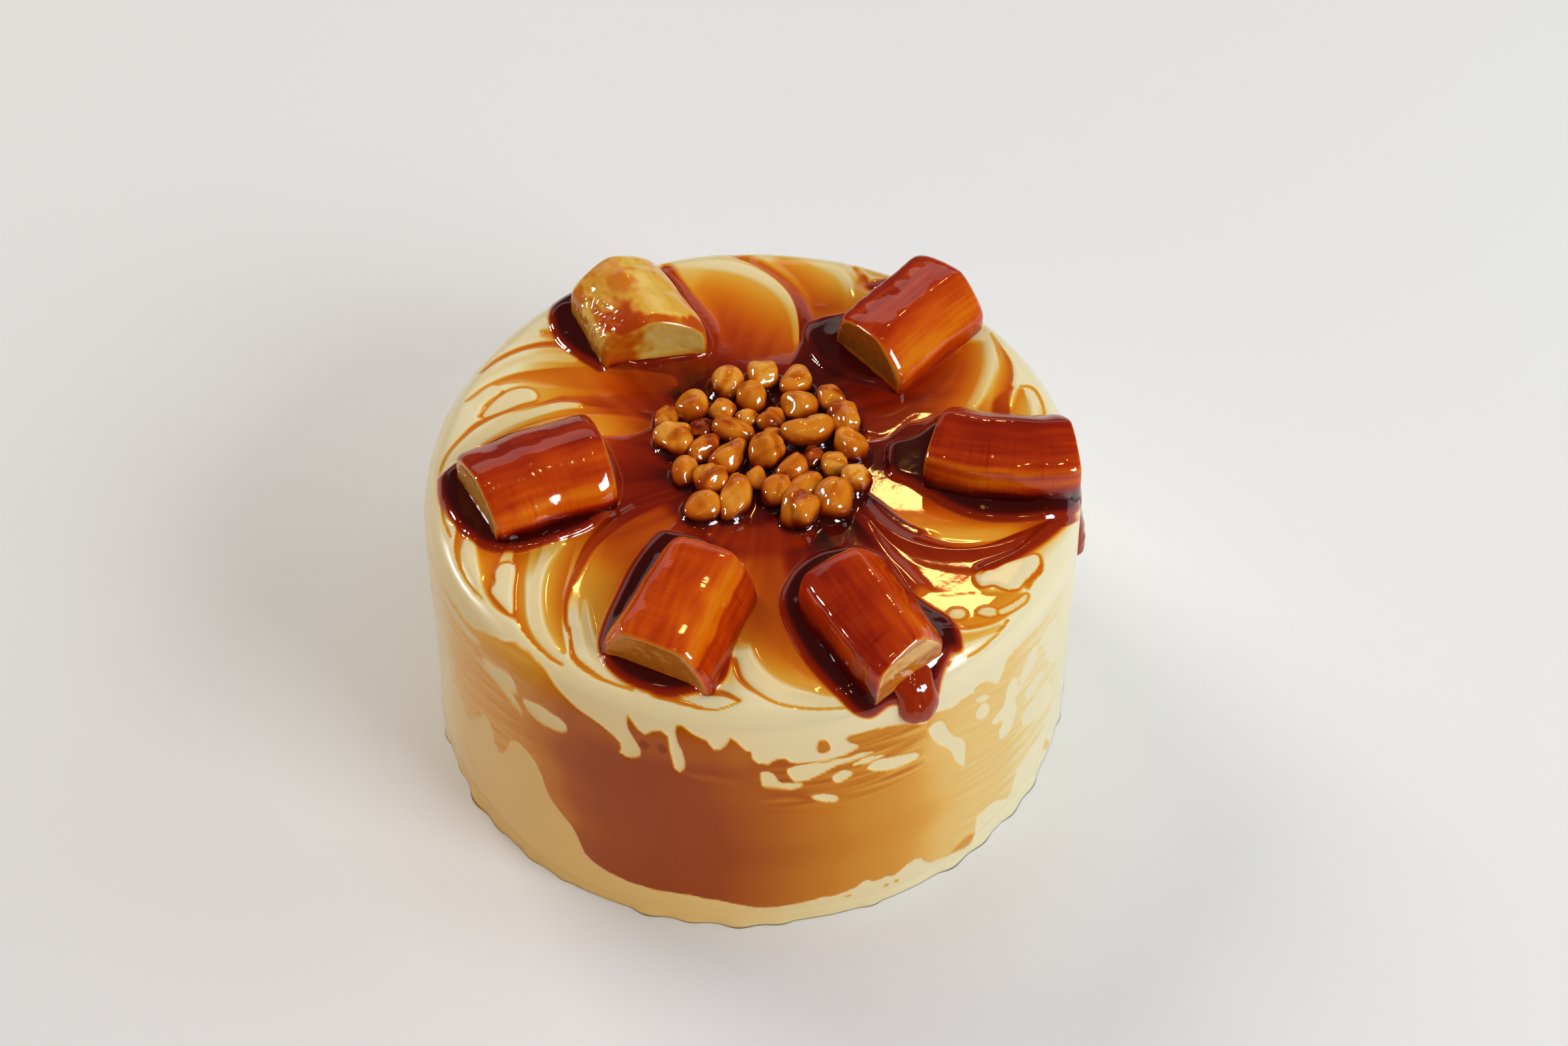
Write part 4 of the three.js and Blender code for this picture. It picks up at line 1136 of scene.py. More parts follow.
def streaked(x, y, u):
    """Fine strands in the caramel that run outwards from the nuts and bend as the swirl does:
    noise that changes quickly by direction and slowly by radius, added where it is deep."""
    r = np.hypot(x, y)
    angle = np.arctan2(y, x) + 0.004 * (r - 40)
    strands = fine_noise(angle * 48, r * 0.05, 7, count=30, low=0.05, high=0.3)
    return np.clip(u + 0.022 * strands * smooth(u, 0.35, 0.65) * (1 - smooth(r, 66, 92)), 0, 1)


print("folds", [round(float(swirl_height(np.array(v))), 2) for v in (0, 0.4, 1)], "mm high")

# %% [markdown]
# ## Pools and beads
#
# Round every banana the caramel stands nearly 2 mm thick, with the round edge that surface tension
# gives a thick syrup, and climbs a little up the fruit. Where a film stopped it left a raised
# bead. Metaballs or a fluid simulation could make such edges, at the cost of control over where
# they end; a quarter circle over the distance to the outline does it exactly.

# %% Pools
POOL_HEIGHT = 1.9  # mm over the top
POOL_EDGE = 3.2  # mm over which its edge rounds down
CLIMB, CLIMB_REACH = 0.7, 1.6  # mm up the fruit, and out from it
POOL_TONE = (0.77, 0.965)  # depth of colour at its edge and inside it
EVERYWHERE = 20.0  # mm over the line where the pools end on the rim


def add_pools(x, y, u, above=EVERYWHERE):
    """The pools' height over the top, a quarter circle over the distance from the edge plus a
    decaying climb at the fruit, and u with their depth of colour. above is how far each point lies
    over the line on the rim where the pools end."""
    height = np.zeros_like(x)
    for b in banana_places:
        inside = np.minimum(inside_outline(b.pool, x, y), above)
        edge = np.clip(inside / POOL_EDGE, 0, 1)
        height = np.maximum(height, POOL_HEIGHT * np.sqrt(1 - (1 - edge) ** 2))
        close = np.exp(-np.maximum(b.outside(x, y), 0) / CLIMB_REACH)
        height = height + CLIMB * close * (inside > 0)
        shade = lerp(*POOL_TONE, smooth(inside, 0.2, 3.4))
        u = u + smooth(inside, -0.45, 0.45) * (np.maximum(shade, u) - u)
    return height, u


print("pools stand", POOL_HEIGHT, "mm high")

# %% Beads of the film
# points on the top, height and half width in mm
BEADS = [
    ([(102.4, -24.0), (97.9, -27.6), (92.7, -29.6), (88.1, -34.2), (82.7, -39.4), (76.6, -43.2),
     (72.3, -45.4), (68.2, -48.6)], 1.3, 1.7),
    ([(34, -14.5), (38, -24), (46, -33), (56, -37.8), (66, -38.6), (77, -37.0),
     (88, -32)], .7, 2.2),
    ([(-22, -12.6), (-34, -18.6), (-42.4, -25.6), (-48.4, -34), (-52, -44), (-54.6, -54),
     (-55, -62)], .6, 1.6),
    ([(34, -20), (41, -38), (47, -47), (53, -56)], .5, 2.4),
]
BEAD_STEPS = 40


def add_beads(x, y, u):
    """The film's raised edges, bell curves of the distance from their lines that fade at both
    ends, and u, deeper along the tallest of them."""
    height = np.zeros_like(x)
    for points, high, wide in BEADS:
        line = spline(points, BEAD_STEPS)
        hit = near_line(line, x, y, 6)
        far, place = from_line(line, x[hit], y[hit])
        share = place / (BEAD_STEPS - 1)
        fade = smooth(share, 0, 0.12) * (1 - smooth(share, 0.9, 1))
        height[hit] = np.maximum(height[hit], high * fade * np.exp(-((far / wide) ** 2)))
        edge = fade * (1 - smooth(np.abs(far), wide - 0.4, wide + 0.2)) * (high > 1)
        u[hit] = u[hit] + edge * (np.maximum(0.80, u[hit]) - u[hit])
    return height, u


print(len(BEADS), "beads, up to", max(high for _, high, _ in BEADS), "mm high")

# %% [markdown]
# ## The grid of the body
#
# One profile runs from the edge of the nut field over the flat, the rim and the side to the
# middle of the underside, and is carried round in 1400 columns. A revolved curve with modifiers
# would do for a plain cake; worked out as a grid, every ring can take the side's own radius.

# %% Rings
AROUND = 1400
NUT_FIELD = 40.0  # radius of the middle, which is meshed more finely as its own piece
TOP_ROWS, RIM_ROWS, SIDE_ROWS, UNDER_ROWS = 120, 34, 118, 8
turn = np.arange(AROUND) / AROUND * 2 * np.pi
shoulder = CAKE_HEIGHT - RIM_FILLET
rim_inner = side_radius(turn, shoulder) - RIM_FILLET
rings = []  # radius and level of each
for share in np.linspace(0, 1, TOP_ROWS):
    rings.append((lerp(NUT_FIELD, rim_inner, share), CAKE_HEIGHT))
for bow in np.linspace(np.pi / 2, 0, RIM_ROWS + 1)[1:]:
    z = CAKE_HEIGHT - RIM_FILLET * (1 - np.sin(bow))
    rings.append((rim_inner + RIM_FILLET * np.cos(bow), z))
for down in np.linspace(shoulder, 0, SIDE_ROWS + 1)[1:]:
    rings.append((side_radius(turn, down) + foot_flare(turn, down), down))
foot = rings[-1][0]
for share in np.linspace(1, 0, UNDER_ROWS + 1)[1:]:
    rings.append((lerp(1.0, foot, share), 0.0))
radius = np.array([r for r, _ in rings])
level = np.array([np.full(AROUND, z) for _, z in rings])
on_top = np.arange(len(rings)) < TOP_ROWS + RIM_ROWS
print(len(rings), "rings of", AROUND, "points")

# %% [markdown]
# ## Seen over the rim
#
# The petals were drawn as a viewer in front and above sees them, all on the flat of the top. A
# point on the rounded rim lies lower, so it is carried up along the line of sight to where the
# flat would be, and takes its depth from there. Taking it from straight above instead would smear
# the strokes down the front of the rim.

# %% Line of sight
EYE = (10.8, -565.3, 697.3)  # the viewing point in mm


def on_flat(x, y, level):
    """The point of the flat top that lies on the line from the eye to a point of the rim: both
    coordinates move towards the eye's by the share of the height that is missing."""
    part = (CAKE_HEIGHT - level) / (EYE[2] - level)
    return x + (EYE[0] - x) * part, y + (EYE[1] - y) * part


x, y = radius * np.cos(turn), radius * np.sin(turn)
seen_x, seen_y = (v[on_top] for v in on_flat(x, y, level))
print("the front rim reads", round(float(y[on_top].min() - seen_y.min()), 1), "mm further out")

# %% [markdown]
# ## Caramel on the body
#
# Now the drawing is laid on the grid: first the petals' depth and the folds it raises, then
# strands, pools and beads over them, and last the side's own glaze, which swells the icing by
# 0.4 mm. Where that glaze is the deeper of the two, the point is called milky and its finish uses
# the wiped colours. The caramel ends on the rim along a wavy line, as it hung over unevenly.

# %% Top and rim
END_OF_CARAMEL = 89.6  # mm, the level on the rim down to which it ran
above = level[on_top] - END_OF_CARAMEL - 0.9 * np.sin(9 * turn) - 0.6 * np.sin(22 * turn + 1)
depth_top = top_depth(seen_x, seen_y) * smooth(above, -1, 1.5)
relief = blur(swirl_height(depth_top), 5)
depth_top = streaked(seen_x, seen_y, depth_top)
pool_height, depth_top = add_pools(seen_x, seen_y, depth_top, above)
bead_height, depth_top = add_beads(seen_x, seen_y, depth_top)
fade = np.ones((TOP_ROWS + RIM_ROWS, 1))
fade[TOP_ROWS:, 0] = np.sin(np.linspace(np.pi / 2, 0, RIM_ROWS + 1)[1:]) ** 2
level[on_top] += (relief + blur(pool_height, 1) + bead_height) * fade
print("the top rises to", round(float(level.max()), 1), "mm")

# %% Side
SWELL = 0.4  # mm, thickness of the glaze on the side
below_rim = np.arange(len(rings)) >= TOP_ROWS
depth_all, glaze_side = np.zeros_like(radius), np.zeros_like(radius)
depth_all[on_top] = depth_top
glaze_side[below_rim] = side_depth(turn[None, :] + 0 * radius[below_rim], level[below_rim])
milkiness = smooth(glaze_side - depth_all, -0.02, 0.06)
depth_all = np.maximum(depth_all, glaze_side)
swell = SWELL * blur(smooth(glaze_side, 0.12, 0.3), 1) * milkiness * smooth(level, 0, 3)
x, y = x + swell * np.cos(turn), y + swell * np.sin(turn)
print("caramel covers", round(100 * float((depth_all > 0.1).mean())), "% of the points")

# %% Shell in four parts
# rows where the grid is cut into four parts of under 200,000 triangles each
CUTS = [0, 70, 140, 210, len(rings) - 1]
body_points = np.stack([x, y, level], -1)
body_normals = grid_normals(body_points)
for number, (a, b) in enumerate(zip(CUTS[:-1], CUTS[1:])):
    part = slice(a, b + 1)
    fields = dict(depth=depth_all[part], milkiness=milkiness[part])
    last = number == len(CUTS) - 2
    obj = make_piece(f"cake_shell_{number + 1}", body_points[part], fields, icing,
                     body_normals[part], ends=(False, last))
    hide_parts("cake_body")
    print(obj.name, triangles(obj), "triangles")

# %% [markdown]
# ## The middle pool
#
# Between the nuts the caramel stands deepest and looks almost black, and it climbs a little up
# every nut, as any thick liquid does. It could be a flat disc under the nuts, but then each nut
# would seem to hover. This is the same top as the body's, in a finer grid of its own, with a rise
# round the footprint of each nut.

# %% Rise round the nuts
NUT_CLIMB = 1.1  # mm over which the caramel falls away from a nut


def node_middle(name):
    """The middle of a CAD node's box, in mm."""
    low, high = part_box(name)
    return 0.5 * (np.array(low) + np.array(high)) * 1000


def rise_round_nuts(x, y):
    """1 at and under a nut, decaying with the distance from the oval of its footprint."""
    rise = np.zeros_like(x)
    for (length, breadth, _, degrees, _), m in zip(NUTS, nut_middles):
        c, s = math.cos(math.radians(degrees)), math.sin(math.radians(degrees))
        f, a = (x - m[0]) * c + (y - m[1]) * s, (y - m[1]) * c - (x - m[0]) * s
        away = (np.hypot(f / (length / 2), a / (breadth / 2)) - 1) * (length + breadth) / 4
        rise = np.maximum(rise, np.exp(-np.maximum(away, 0) / NUT_CLIMB))
    return rise


nut_middles = [node_middle(f"nut_{i + 1:02d}") for i in range(len(NUTS))]
print("the heap spans", round(float(np.ptp([m[0] for m in nut_middles])), 1), "mm")

# %% Middle
INNER_AROUND, INNER_ROWS = 700, 74
NEARLY_BLACK = 0.97  # depth of colour at a nut
inner_turn = np.arange(INNER_AROUND) / INNER_AROUND * 2 * np.pi
inner_radius = np.linspace(NUT_FIELD, 0.6, INNER_ROWS)[::-1][:, None] * np.ones(INNER_AROUND)
ix, iy = inner_radius * np.cos(inner_turn), inner_radius * np.sin(inner_turn)
inner_depth = top_depth(ix, iy)
inner_relief = swirl_height(inner_depth)
inner_depth = streaked(ix, iy, inner_depth)
rise = rise_round_nuts(ix, iy)
near = smooth(rise, 0.03, 0.5)
pool_height, inner_depth = add_pools(ix, iy, inner_depth)
base = CAKE_HEIGHT + inner_relief + pool_height
inner_level = base + 0.9 * near + 1.1 * rise**2 * near
inner_depth = inner_depth + near * (np.maximum(inner_depth, NEARLY_BLACK) - inner_depth)
inner_level = lerp(inner_level, base, smooth(inner_radius, NUT_FIELD - 3, NUT_FIELD))
points = np.stack([ix, iy, inner_level], -1)
fields = dict(depth=inner_depth, milkiness=0 * inner_depth)
obj = make_piece("cake_middle", points, fields, icing,
                 ends=(True, False))
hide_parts("cake_body")
print(obj.name, triangles(obj), "triangles")

# %% [markdown]
# ## Drips
#
# Two runs of caramel hang over the rim. Each is a bead that follows the rounding of the rim and
# ends in a heavy round drop. A bevelled curve could follow the rim, but its section would be the
# same all along, so this is a grid: a flattened tube along the rim's own profile, whose width and
# thickness go from a root to a drop.

# %% Path of a drip
def drip_path(spec, share):
    """Distance along, radius, level and slope at each share of a drip: straight in on the flat,
    then a quarter circle over the rim, then straight down the side to the tip."""
    side = float(side_radius(math.radians(spec["turn"]), shoulder))
    flat, bend = spec["start"] - RIM_FILLET, RIM_FILLET * math.pi / 2
    total = flat + bend + shoulder - spec["tip"]
    distance = share * total
    bow = np.clip((distance - flat) / RIM_FILLET, 0, math.pi / 2)
    out = side - RIM_FILLET * (1 - np.sin(bow)) - np.maximum(flat - distance, 0)
    level = shoulder + RIM_FILLET * np.cos(bow) - np.maximum(distance - flat - bend, 0)
    return distance, out, level, bow, total


_, out, low, _, total = drip_path(DRIPS[0], np.array([0.0, 1.0]))
print("the front drip is", round(total, 1), "mm long and ends at level", round(float(low[1]), 1))

# %% Drips
DRIP_AROUND, DRIP_STEPS = 72, 150


def drip_grid(spec):
    """Rings of a flattened tube along the path: half an ellipse outwards and 0.3 of it inwards,
    scaled towards the tip by the root of a circle, with a few per cent of wrinkle."""
    direction = math.radians(spec["turn"])
    radial = np.array([math.cos(direction), math.sin(direction)])
    aside = np.array([-math.sin(direction), math.cos(direction)])
    share = 1 - np.linspace(1, 0.0, DRIP_STEPS)[:, None] ** 1.5
    distance, out, level, bow, total = drip_path(spec, share)
    to_tip = np.clip(2 * (1 - share) * total / spec["width"], 0, 1)
    rounded = np.sqrt(np.maximum(1 - (1 - to_tip) ** 2, 1e-4))
    swell = lerp(spec["neck"], 1, smooth(share, 0.3, 0.8)) * rounded
    wide = lerp(spec["root"], 1, smooth(share, 0.1, 0.62)) * rounded
    angle = np.arange(DRIP_AROUND) / DRIP_AROUND * 2 * np.pi
    across = 0.5 * spec["width"] * wide * np.cos(angle) * (1 + 0.06 * np.sin(9 * share + 1))
    wrinkle = 1 + 0.07 * fine_noise(distance, across, 17, low=0.10, high=0.36)
    arch = np.where(np.sin(angle) > 0, np.sin(angle), 0.3 * np.sin(angle))
    rise = spec["thick"] * wrinkle * swell * arch
    lead = (out + rise * np.sin(bow))[..., None] * radial + across[..., None] * aside
    points = np.dstack([lead, level + rise * np.cos(bow)])
    return points, share * np.ones_like(angle), np.cos(angle) * np.ones_like(share)


for number, spec in enumerate(DRIPS):
    points, share, sideways = drip_grid(spec)
    tone = 0.775 - 0.05 * np.abs(sideways) ** 3 - 0.03 * share
    fields = dict(depth=tone, milkiness=0 * tone)
    obj = make_piece(f"caramel_drip_{number + 1}", points, fields, icing,
                     ends=(True, True))
    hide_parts("cake_body")
    print(obj.name, triangles(obj), "triangles")

# %% [markdown]
# ## Bananas: what differs from piece to piece
#
# Each piece is half of a banana cut lengthways and lying on its cut side. One shape copied six
# times would show at once, so a few short lists say where each one's ridge runs, how its ends were
# cut, how its glaze lies and how brown it is from one foot over the arch to the other.

# %% Shapes of the bananas
RIDGE = [0.455, 0.57, 0.50, 0.47, 0.36, 0.43]  # where the top ridge runs, as a share of the arch
FIT = [  # width at the inner and outer end as shares, shift left, then reach and slant of each end
    (1.02, 1.02, 0, 0, 0, 0, 0), (1.13, 1.16, -2.2, 3.5, 0, 0.23, 0),
    (1.15, 1.0, 1.2, 3.7, 0, 0.23, 0), (1.12, 1.12, 1.9, 2.5, 1.0, 0, 0),
    (1.02, 1.13, 0, 0, -0.7, 0, 0.12), (1.12, 1.02, -1.2, 0, -0.5, 0, -0.18),
]
RIPPLE = [0.10, 0.10, 0.10, 0.10, 0.045, 0.09]  # height in mm of the waves in each glaze
DROOP = [0.0, 0.0, 0.0, 0.0, 0.09, 0.0]  # share of its height lost towards the outer end
print("widest end", max(max(fit[:2]) for fit in FIT), "of the piece's width")

# %% Colours of the bananas
# share of the arch from the left foot over the top to the right foot, and depth of colour
SKIN = [
    [(0, .9), (.08, .8), (.15, .66), (.45, .65), (.6, .6), (.72, .54), (.755, .4), (.785, .5),
     (.82, .4), (.86, .56), (.89, .8), (.93, .95), (1, .97)],
    [(0, .9), (.07, .75), (.15, .6), (.4, .56), (.58, .56), (.64, .46), (.72, .44), (.79, .34),
     (.84, .42), (.93, .54), (1, .8)],
    [(0, .9), (.05, .6), (.1, .34), (.2, .22), (.32, .34), (.45, .36), (.58, .22), (.7, .26),
     (.8, .32), (.9, .5), (1, .8)],
    [(0, .97), (.07, .9), (.11, .66), (.14, .42), (.2, .38), (.25, .5), (.4, .52), (.5, .6),
     (.8, .62), (.92, .7), (1, .9)],
    [(0, .85), (.06, .64), (.12, .55), (.2, .54), (.225, .58), (.25, .42), (.33, .38), (.38, .48),
     (.46, .51), (.6, .48), (.69, .46), (.76, .4), (.82, .48), (.9, .78), (1, .92)],
    [(0, .9), (.15, .75), (.28, .56), (.36, .48), (.46, .54), (.6, .6), (.72, .62), (.78, .52),
     (.83, .66), (.9, .82), (1, .92)],
]
# caramel on the pale piece: place along and across it, reach of each, depth there
SPLASHES_PALE = [
    (.03, .5, .05, .6, .52), (.6, .46, .16, .07, .5), (.34, .8, .18, .06, .52),
    (.3, .4, .16, .05, .5), (.4, .27, .34, .035, .54), (.78, .22, .16, .07, .5),
    (.99, .3, .05, .3, .46), (.5, .92, .6, .035, .56), (.1, .38, .22, .1, .72),
    (.24, .31, .16, .05, .68), (.05, .73, .08, .08, .66), (.04, .5, .035, .12, .62),
]
FLESH = [0.17, 0.21, 0.13, 0.10, 0.215, 0.08]  # depth of colour of the cut ends near their top
print(len(SPLASHES_PALE), "splashes on the pale piece")

# %% [markdown]
# ## Bananas: lying on the rim
#
# Some outer ends reach past the flat on to the rounding of the rim, and soft fruit gives way there.
# A soft-body simulation could let it sag; here the lowest few mm are lowered to the rim, along the
# same line of sight as the pools, so a piece and its pool stay together.

# %% Settling
SETTLED = 9.0  # mm of its height over which a piece gives way to the rim


def settle(points):
    """Moves low points on to the rim: the level there is that of the rim's quarter circle at the
    place seen on the line of sight, found in 16 half steps; the share moved is 1 at the foot and
    0 from 9 mm up."""
    x, y, z = points[..., 0], points[..., 1], points[..., 2]
    level = np.full(x.shape, CAKE_HEIGHT)
    for _ in range(16):
        part = (CAKE_HEIGHT - level) / (EYE[2] - level)
        rx, ry = (x - EYE[0] * part) / (1 - part), (y - EYE[1] * part) / (1 - part)
        past = np.hypot(rx, ry) - (TOP_RADIUS - RIM_FILLET)
        past = np.clip(past, 0, 0.8 * RIM_FILLET)
        target = CAKE_HEIGHT - RIM_FILLET + np.sqrt(RIM_FILLET**2 - past**2)
        level = lerp(level, target, 0.5)
    low = (1 - smooth(z, FLOOR, FLOOR + SETTLED)) ** 1.5
    return np.stack([lerp(x, rx, low), lerp(y, ry, low), z - low * (CAKE_HEIGHT - level)], -1)


tip = settle(np.array([0.0, -99.0, FLOOR]))
print("a foot 99 mm out in front drops by", round(FLOOR - float(tip[2]), 1), "mm")

# %% [markdown]
# ## Bananas: section and profile
#
# A banana isn't round: three blunt ridges run along it. Its half section is a squarish half oval,
# swollen at the ridges, and closed by the flat it lies on. The profile starts in the middle of one
# cut end, rolls over its rounded edge, runs along the log and closes the same way. An extruded and
# bevelled curve comes close, but has too few rows for the relief of the skin.

# %% Half section
ARCH, UNDER = 190, 20  # columns over the arch and back under it
SQUARE = 0.86  # power of sine and cosine: 1 is an oval, less is squarer
ARCH_LENGTH = 50.0  # mm round the arch


def half_section(b, index):
    """Share round the arch, its cosine and sine, and the section's offset aside and up: powers of
    the cosine and sine, times a swell that peaks at three ridges, with the underside straight."""
    share = np.concatenate([np.linspace(0, 1, ARCH, endpoint=False), np.full(UNDER, 1.0)])
    angle = lerp(-0.06, 1.06, share) * np.pi
    ridge = lerp(-0.06, 1.06, RIDGE[index]) * np.pi
    facet = np.sqrt(np.sin(1.5 * (angle - ridge) * 2) ** 2 + 0.012)
    swell = 1.02 - 0.075 * np.minimum(facet, 1)
    cos, sin = np.cos(angle), np.sin(angle)
    aside = (b.width / 2) * np.sign(cos) * np.abs(cos) ** SQUARE * swell
    rise = np.maximum(BANANA_HEIGHT * np.sign(sin) * np.abs(sin) ** SQUARE * swell, 0)
    aside[ARCH:] = np.linspace(aside[ARCH - 1], aside[0], UNDER + 1)[1:]
    rise[ARCH:] = 0
    return share, cos, sin, aside, rise


print("section", round(float(np.ptp(half_section(banana_places[0], 0)[3])), 1), "mm wide")

# %% Profile
LOG_ROWS = 112
END_ROUNDING = 2.2  # mm
FACE_SCALE = 0.875  # of the section, where a cut end's flat meets its rounded edge


def log_profile(length):
    """Share along the piece and scale of the section there, as columns: from the middle of one
    end's flat, over a quarter circle, along the log, and the same way back to the middle."""
    reach = END_ROUNDING / length
    face = [(0.0, s) for s in np.linspace(0.02, FACE_SCALE, 22)]
    roll = [
        (reach * (1 - math.cos(t)), 1 - (1 - FACE_SCALE) * (1 - math.sin(t)))
        for t in np.linspace(0, np.pi / 2, 13)[1:]
    ]
    log = [(v, 1.0) for v in np.linspace(reach, 1 - reach, LOG_ROWS)[1:-1]]
    outer = [(1 - v, s) for v, s in (face + roll)[::-1]]
    v, scale = np.array(face + roll + log + outer).T
    return v[:, None], scale[:, None]


print(len(log_profile(40.0)[0]), "rows along a piece")

# %% [markdown]
# ## Bananas: skin and shape
#
# Sugar that set over fibres leaves slow waves a tenth of a millimetre high, and the pale piece has
# a crinkled film on one flank. Bump in the finish would fake it, but real relief also bends the
# outline of the highlights, so it is in the grid: noise in mm along and round the piece.

# %% Skin
FIBRE_HEIGHT = 0.006  # mm
FILM_HEIGHT = 0.34  # mm, of the crinkles on the pale piece


def skin_relief(b, index, share, v, scale):
    """Height of the skin in mm: waves, plus fibres that change quickly along and slowly round,
    plus crinkles over one flank of the pale piece; none on the cut ends."""
    mm_along, mm_round = v * b.length, share * ARCH_LENGTH + 0 * v
    ripple = fine_noise(mm_along, mm_round * 0.5, 10 + index, low=0.05, high=0.2)
    ripple = RIPPLE[index] * ripple
    fibres = fine_noise(mm_along, mm_round * 0.12, 30 + index, low=0.3, high=0.9)
    if index == PALE:
        flank = smooth(share, 0.08, 0.16) * (1 - smooth(share, 0.32, 0.42))
        flank = flank * smooth(v, 0.02, 0.15) * (1 - smooth(v, 0.6, 0.85))
        crinkles = fine_noise(mm_along, mm_round, 31, low=0.14, high=0.36)
        ripple = ripple + (0.02 + FILM_HEIGHT * flank) * crinkles
    return (ripple + FIBRE_HEIGHT * fibres) * smooth(scale, 0.9, 1.0)


print("waves up to", max(RIPPLE), "mm, crinkles up to", FILM_HEIGHT, "mm")

# %% Shape of a banana
DISH = 0.7  # mm, how far a cut end is hollow
GRAIN = 0.05  # mm, left by the knife
LIFTED = 0.42  # level of the middle of a cut end, as a share of the height


def banana_grid(b, index):
    """The piece's points, and share round, share along and scale of each: the section scaled by
    the profile about a point above its flat, made uneven by slow waves, fitted and slanted at its
    ends, set on its bent line, then hollowed at the ends and settled on the rim."""
    share, cos, sin, aside, rise = half_section(b, index)
    v, scale = log_profile(b.length)
    squeeze = 1 - 0.04 * smooth(2 * np.abs(v - 0.5), 0.7, 1) ** 2
    waves = 0.012 * np.sin(5.1 * v + 2.3 * index)
    uneven = 1 + waves + 0.008 * np.sin(13 * v + 1.7 * index + 3 * share)
    skin = skin_relief(b, index, share, v, scale)
    w = aside * scale * squeeze * uneven + np.sign(aside) * np.abs(cos) * skin
    h = LIFTED * BANANA_HEIGHT * (1 - scale) + rise * scale * squeeze * uneven
    h = h + np.abs(sin) * skin
    wide_in, wide_out, shift, reach_in, reach_out, slant_in, slant_out = FIT[index]
    broad = lerp(wide_in, wide_out, v)
    w, h = w * broad + shift, h * (1 + 0.4 * (broad - 1)) * (1 - DROOP[index] * v)
    slide = (slant_out * w + reach_out) * v**2 + (slant_in * w - reach_in) * (1 - v) ** 2
    px, py = b.at(v + slide / b.length, w)
    dish = DISH * (1 - (scale / FACE_SCALE) ** 2) * (scale < FACE_SCALE)
    grain = GRAIN * fine_noise(w, h, 50 + index, low=0.1, high=0.4)
    inset = np.where(v < 0.5, 1, -1) * (dish + grain * (1 - smooth(scale, 0.85, 0.95)))
    px, py = px + b.along[0] * inset, py + b.along[1] * inset
    points = settle(np.stack([px, py, FLOOR + np.maximum(h, 0)], -1))
    return points, share + 0 * w, v + 0 * w, scale + 0 * w


print("a cut end is", DISH, "mm hollow")

# %% [markdown]
# ## Bananas: how brown
#
# The skin is banded along the piece, as the glaze ran off its ridges; fine threads cross the
# bands, and the feet are dark where they stand in the pool. The cut ends are pale flesh, browner
# towards the bottom, with a dark line of sugar round them. All of it is depth, so one ramp of
# colours serves every piece; separate materials for skin and flesh would leave a hard line.

# %% Depth on the skin
def skin_depth(across, forward, index, b):
    """Depth on the skin: the piece's table round the arch, wandering a little, plus threads that
    run round, streaks that run along and slow clouds; splashes on the pale piece."""
    mm_along, mm_round = forward * b.length, across * ARCH_LENGTH
    wander = 0.008 * fine_noise(mm_along, 0 * mm_along, 70 + index, low=0.03, high=0.15)
    table = np.array(SKIN[index])
    shade = np.interp(across + wander, table[:, 0], table[:, 1])
    threads = fine_noise(mm_along, mm_round * 0.10, 90 + index, low=0.25, high=0.9)
    streaks = fine_noise(mm_along * 0.10, mm_round, 110 + index, low=0.15, high=0.8)
    clouds = fine_noise(mm_along, mm_round, 130 + index, low=0.02, high=0.10)
    if index == PALE:
        blots = fine_noise(mm_along * 0.8, mm_round, 61, count=40, low=0.05, high=0.45)
        shade = shade + 0.006 * threads + 0.015 * streaks + 0.03 * clouds
        shade = shade + 0.10 * smooth(blots, 0.3, 1.6)
        for v0, c0, dv, dc, amount in SPLASHES_PALE:
            patch = np.exp(-(((forward - v0) / dv) ** 2) - ((across - c0) / dc) ** 2)
            torn = smooth(patch + 0.22 * blots * np.sqrt(patch), 0.22, 0.72)
            shade = shade + torn * np.maximum(amount - shade, 0)
        return shade
    flank = smooth(np.abs(across - RIDGE[index]), 0.04, 0.2)
    dark_threads = flank * 0.035 * np.maximum(np.abs(threads) - 0.5, 0)
    return shade + dark_threads + 0.026 * streaks + 0.022 * clouds


print("feet are", max(row[-1][1] for row in SKIN), "deep at the most")

# %% Depth on the cut ends
def flesh_depth(points, forward, index, b):
    """Depth on the cut ends, and how low each point is: 0.34 more at the foot, a little more
    below the top, and mottled by the cut."""
    x, y, z = points[..., 0], points[..., 1], points[..., 2]
    foot = FLOOR - 0.8 * np.maximum(np.hypot(x, y) - (TOP_RADIUS - RIM_FILLET + 0.4), 0)
    low = 1 - smooth(z, foot + 0.6, foot + 4.0)
    cut = fine_noise(x - y, z, 150 + index, low=0.05, high=0.35)
    high = smooth(z, FLOOR + 2, FLOOR + 13)
    flesh = FLESH[index] + (0.03 if index == PALE else 0.012) * cut
    flesh = flesh + 0.34 * low + 0.03 * (1 - high)
    if index == PALE:  # caramel ran over one side of its inner end
        aside = b.frame(x, y)[1]
        flesh = flesh + 0.42 * (forward < 0.5) * smooth(aside + 1.8 * cut, 3, 9)
    if index == len(BANANAS) - 1:  # this end lies lowest and soaked up more
        flesh = flesh + 0.13 * smooth(cut, -0.2, 1.2) + 0.10 * (1 - high)
    return flesh, low


print("cut ends are", min(FLESH), "to", max(FLESH), "deep near their top")

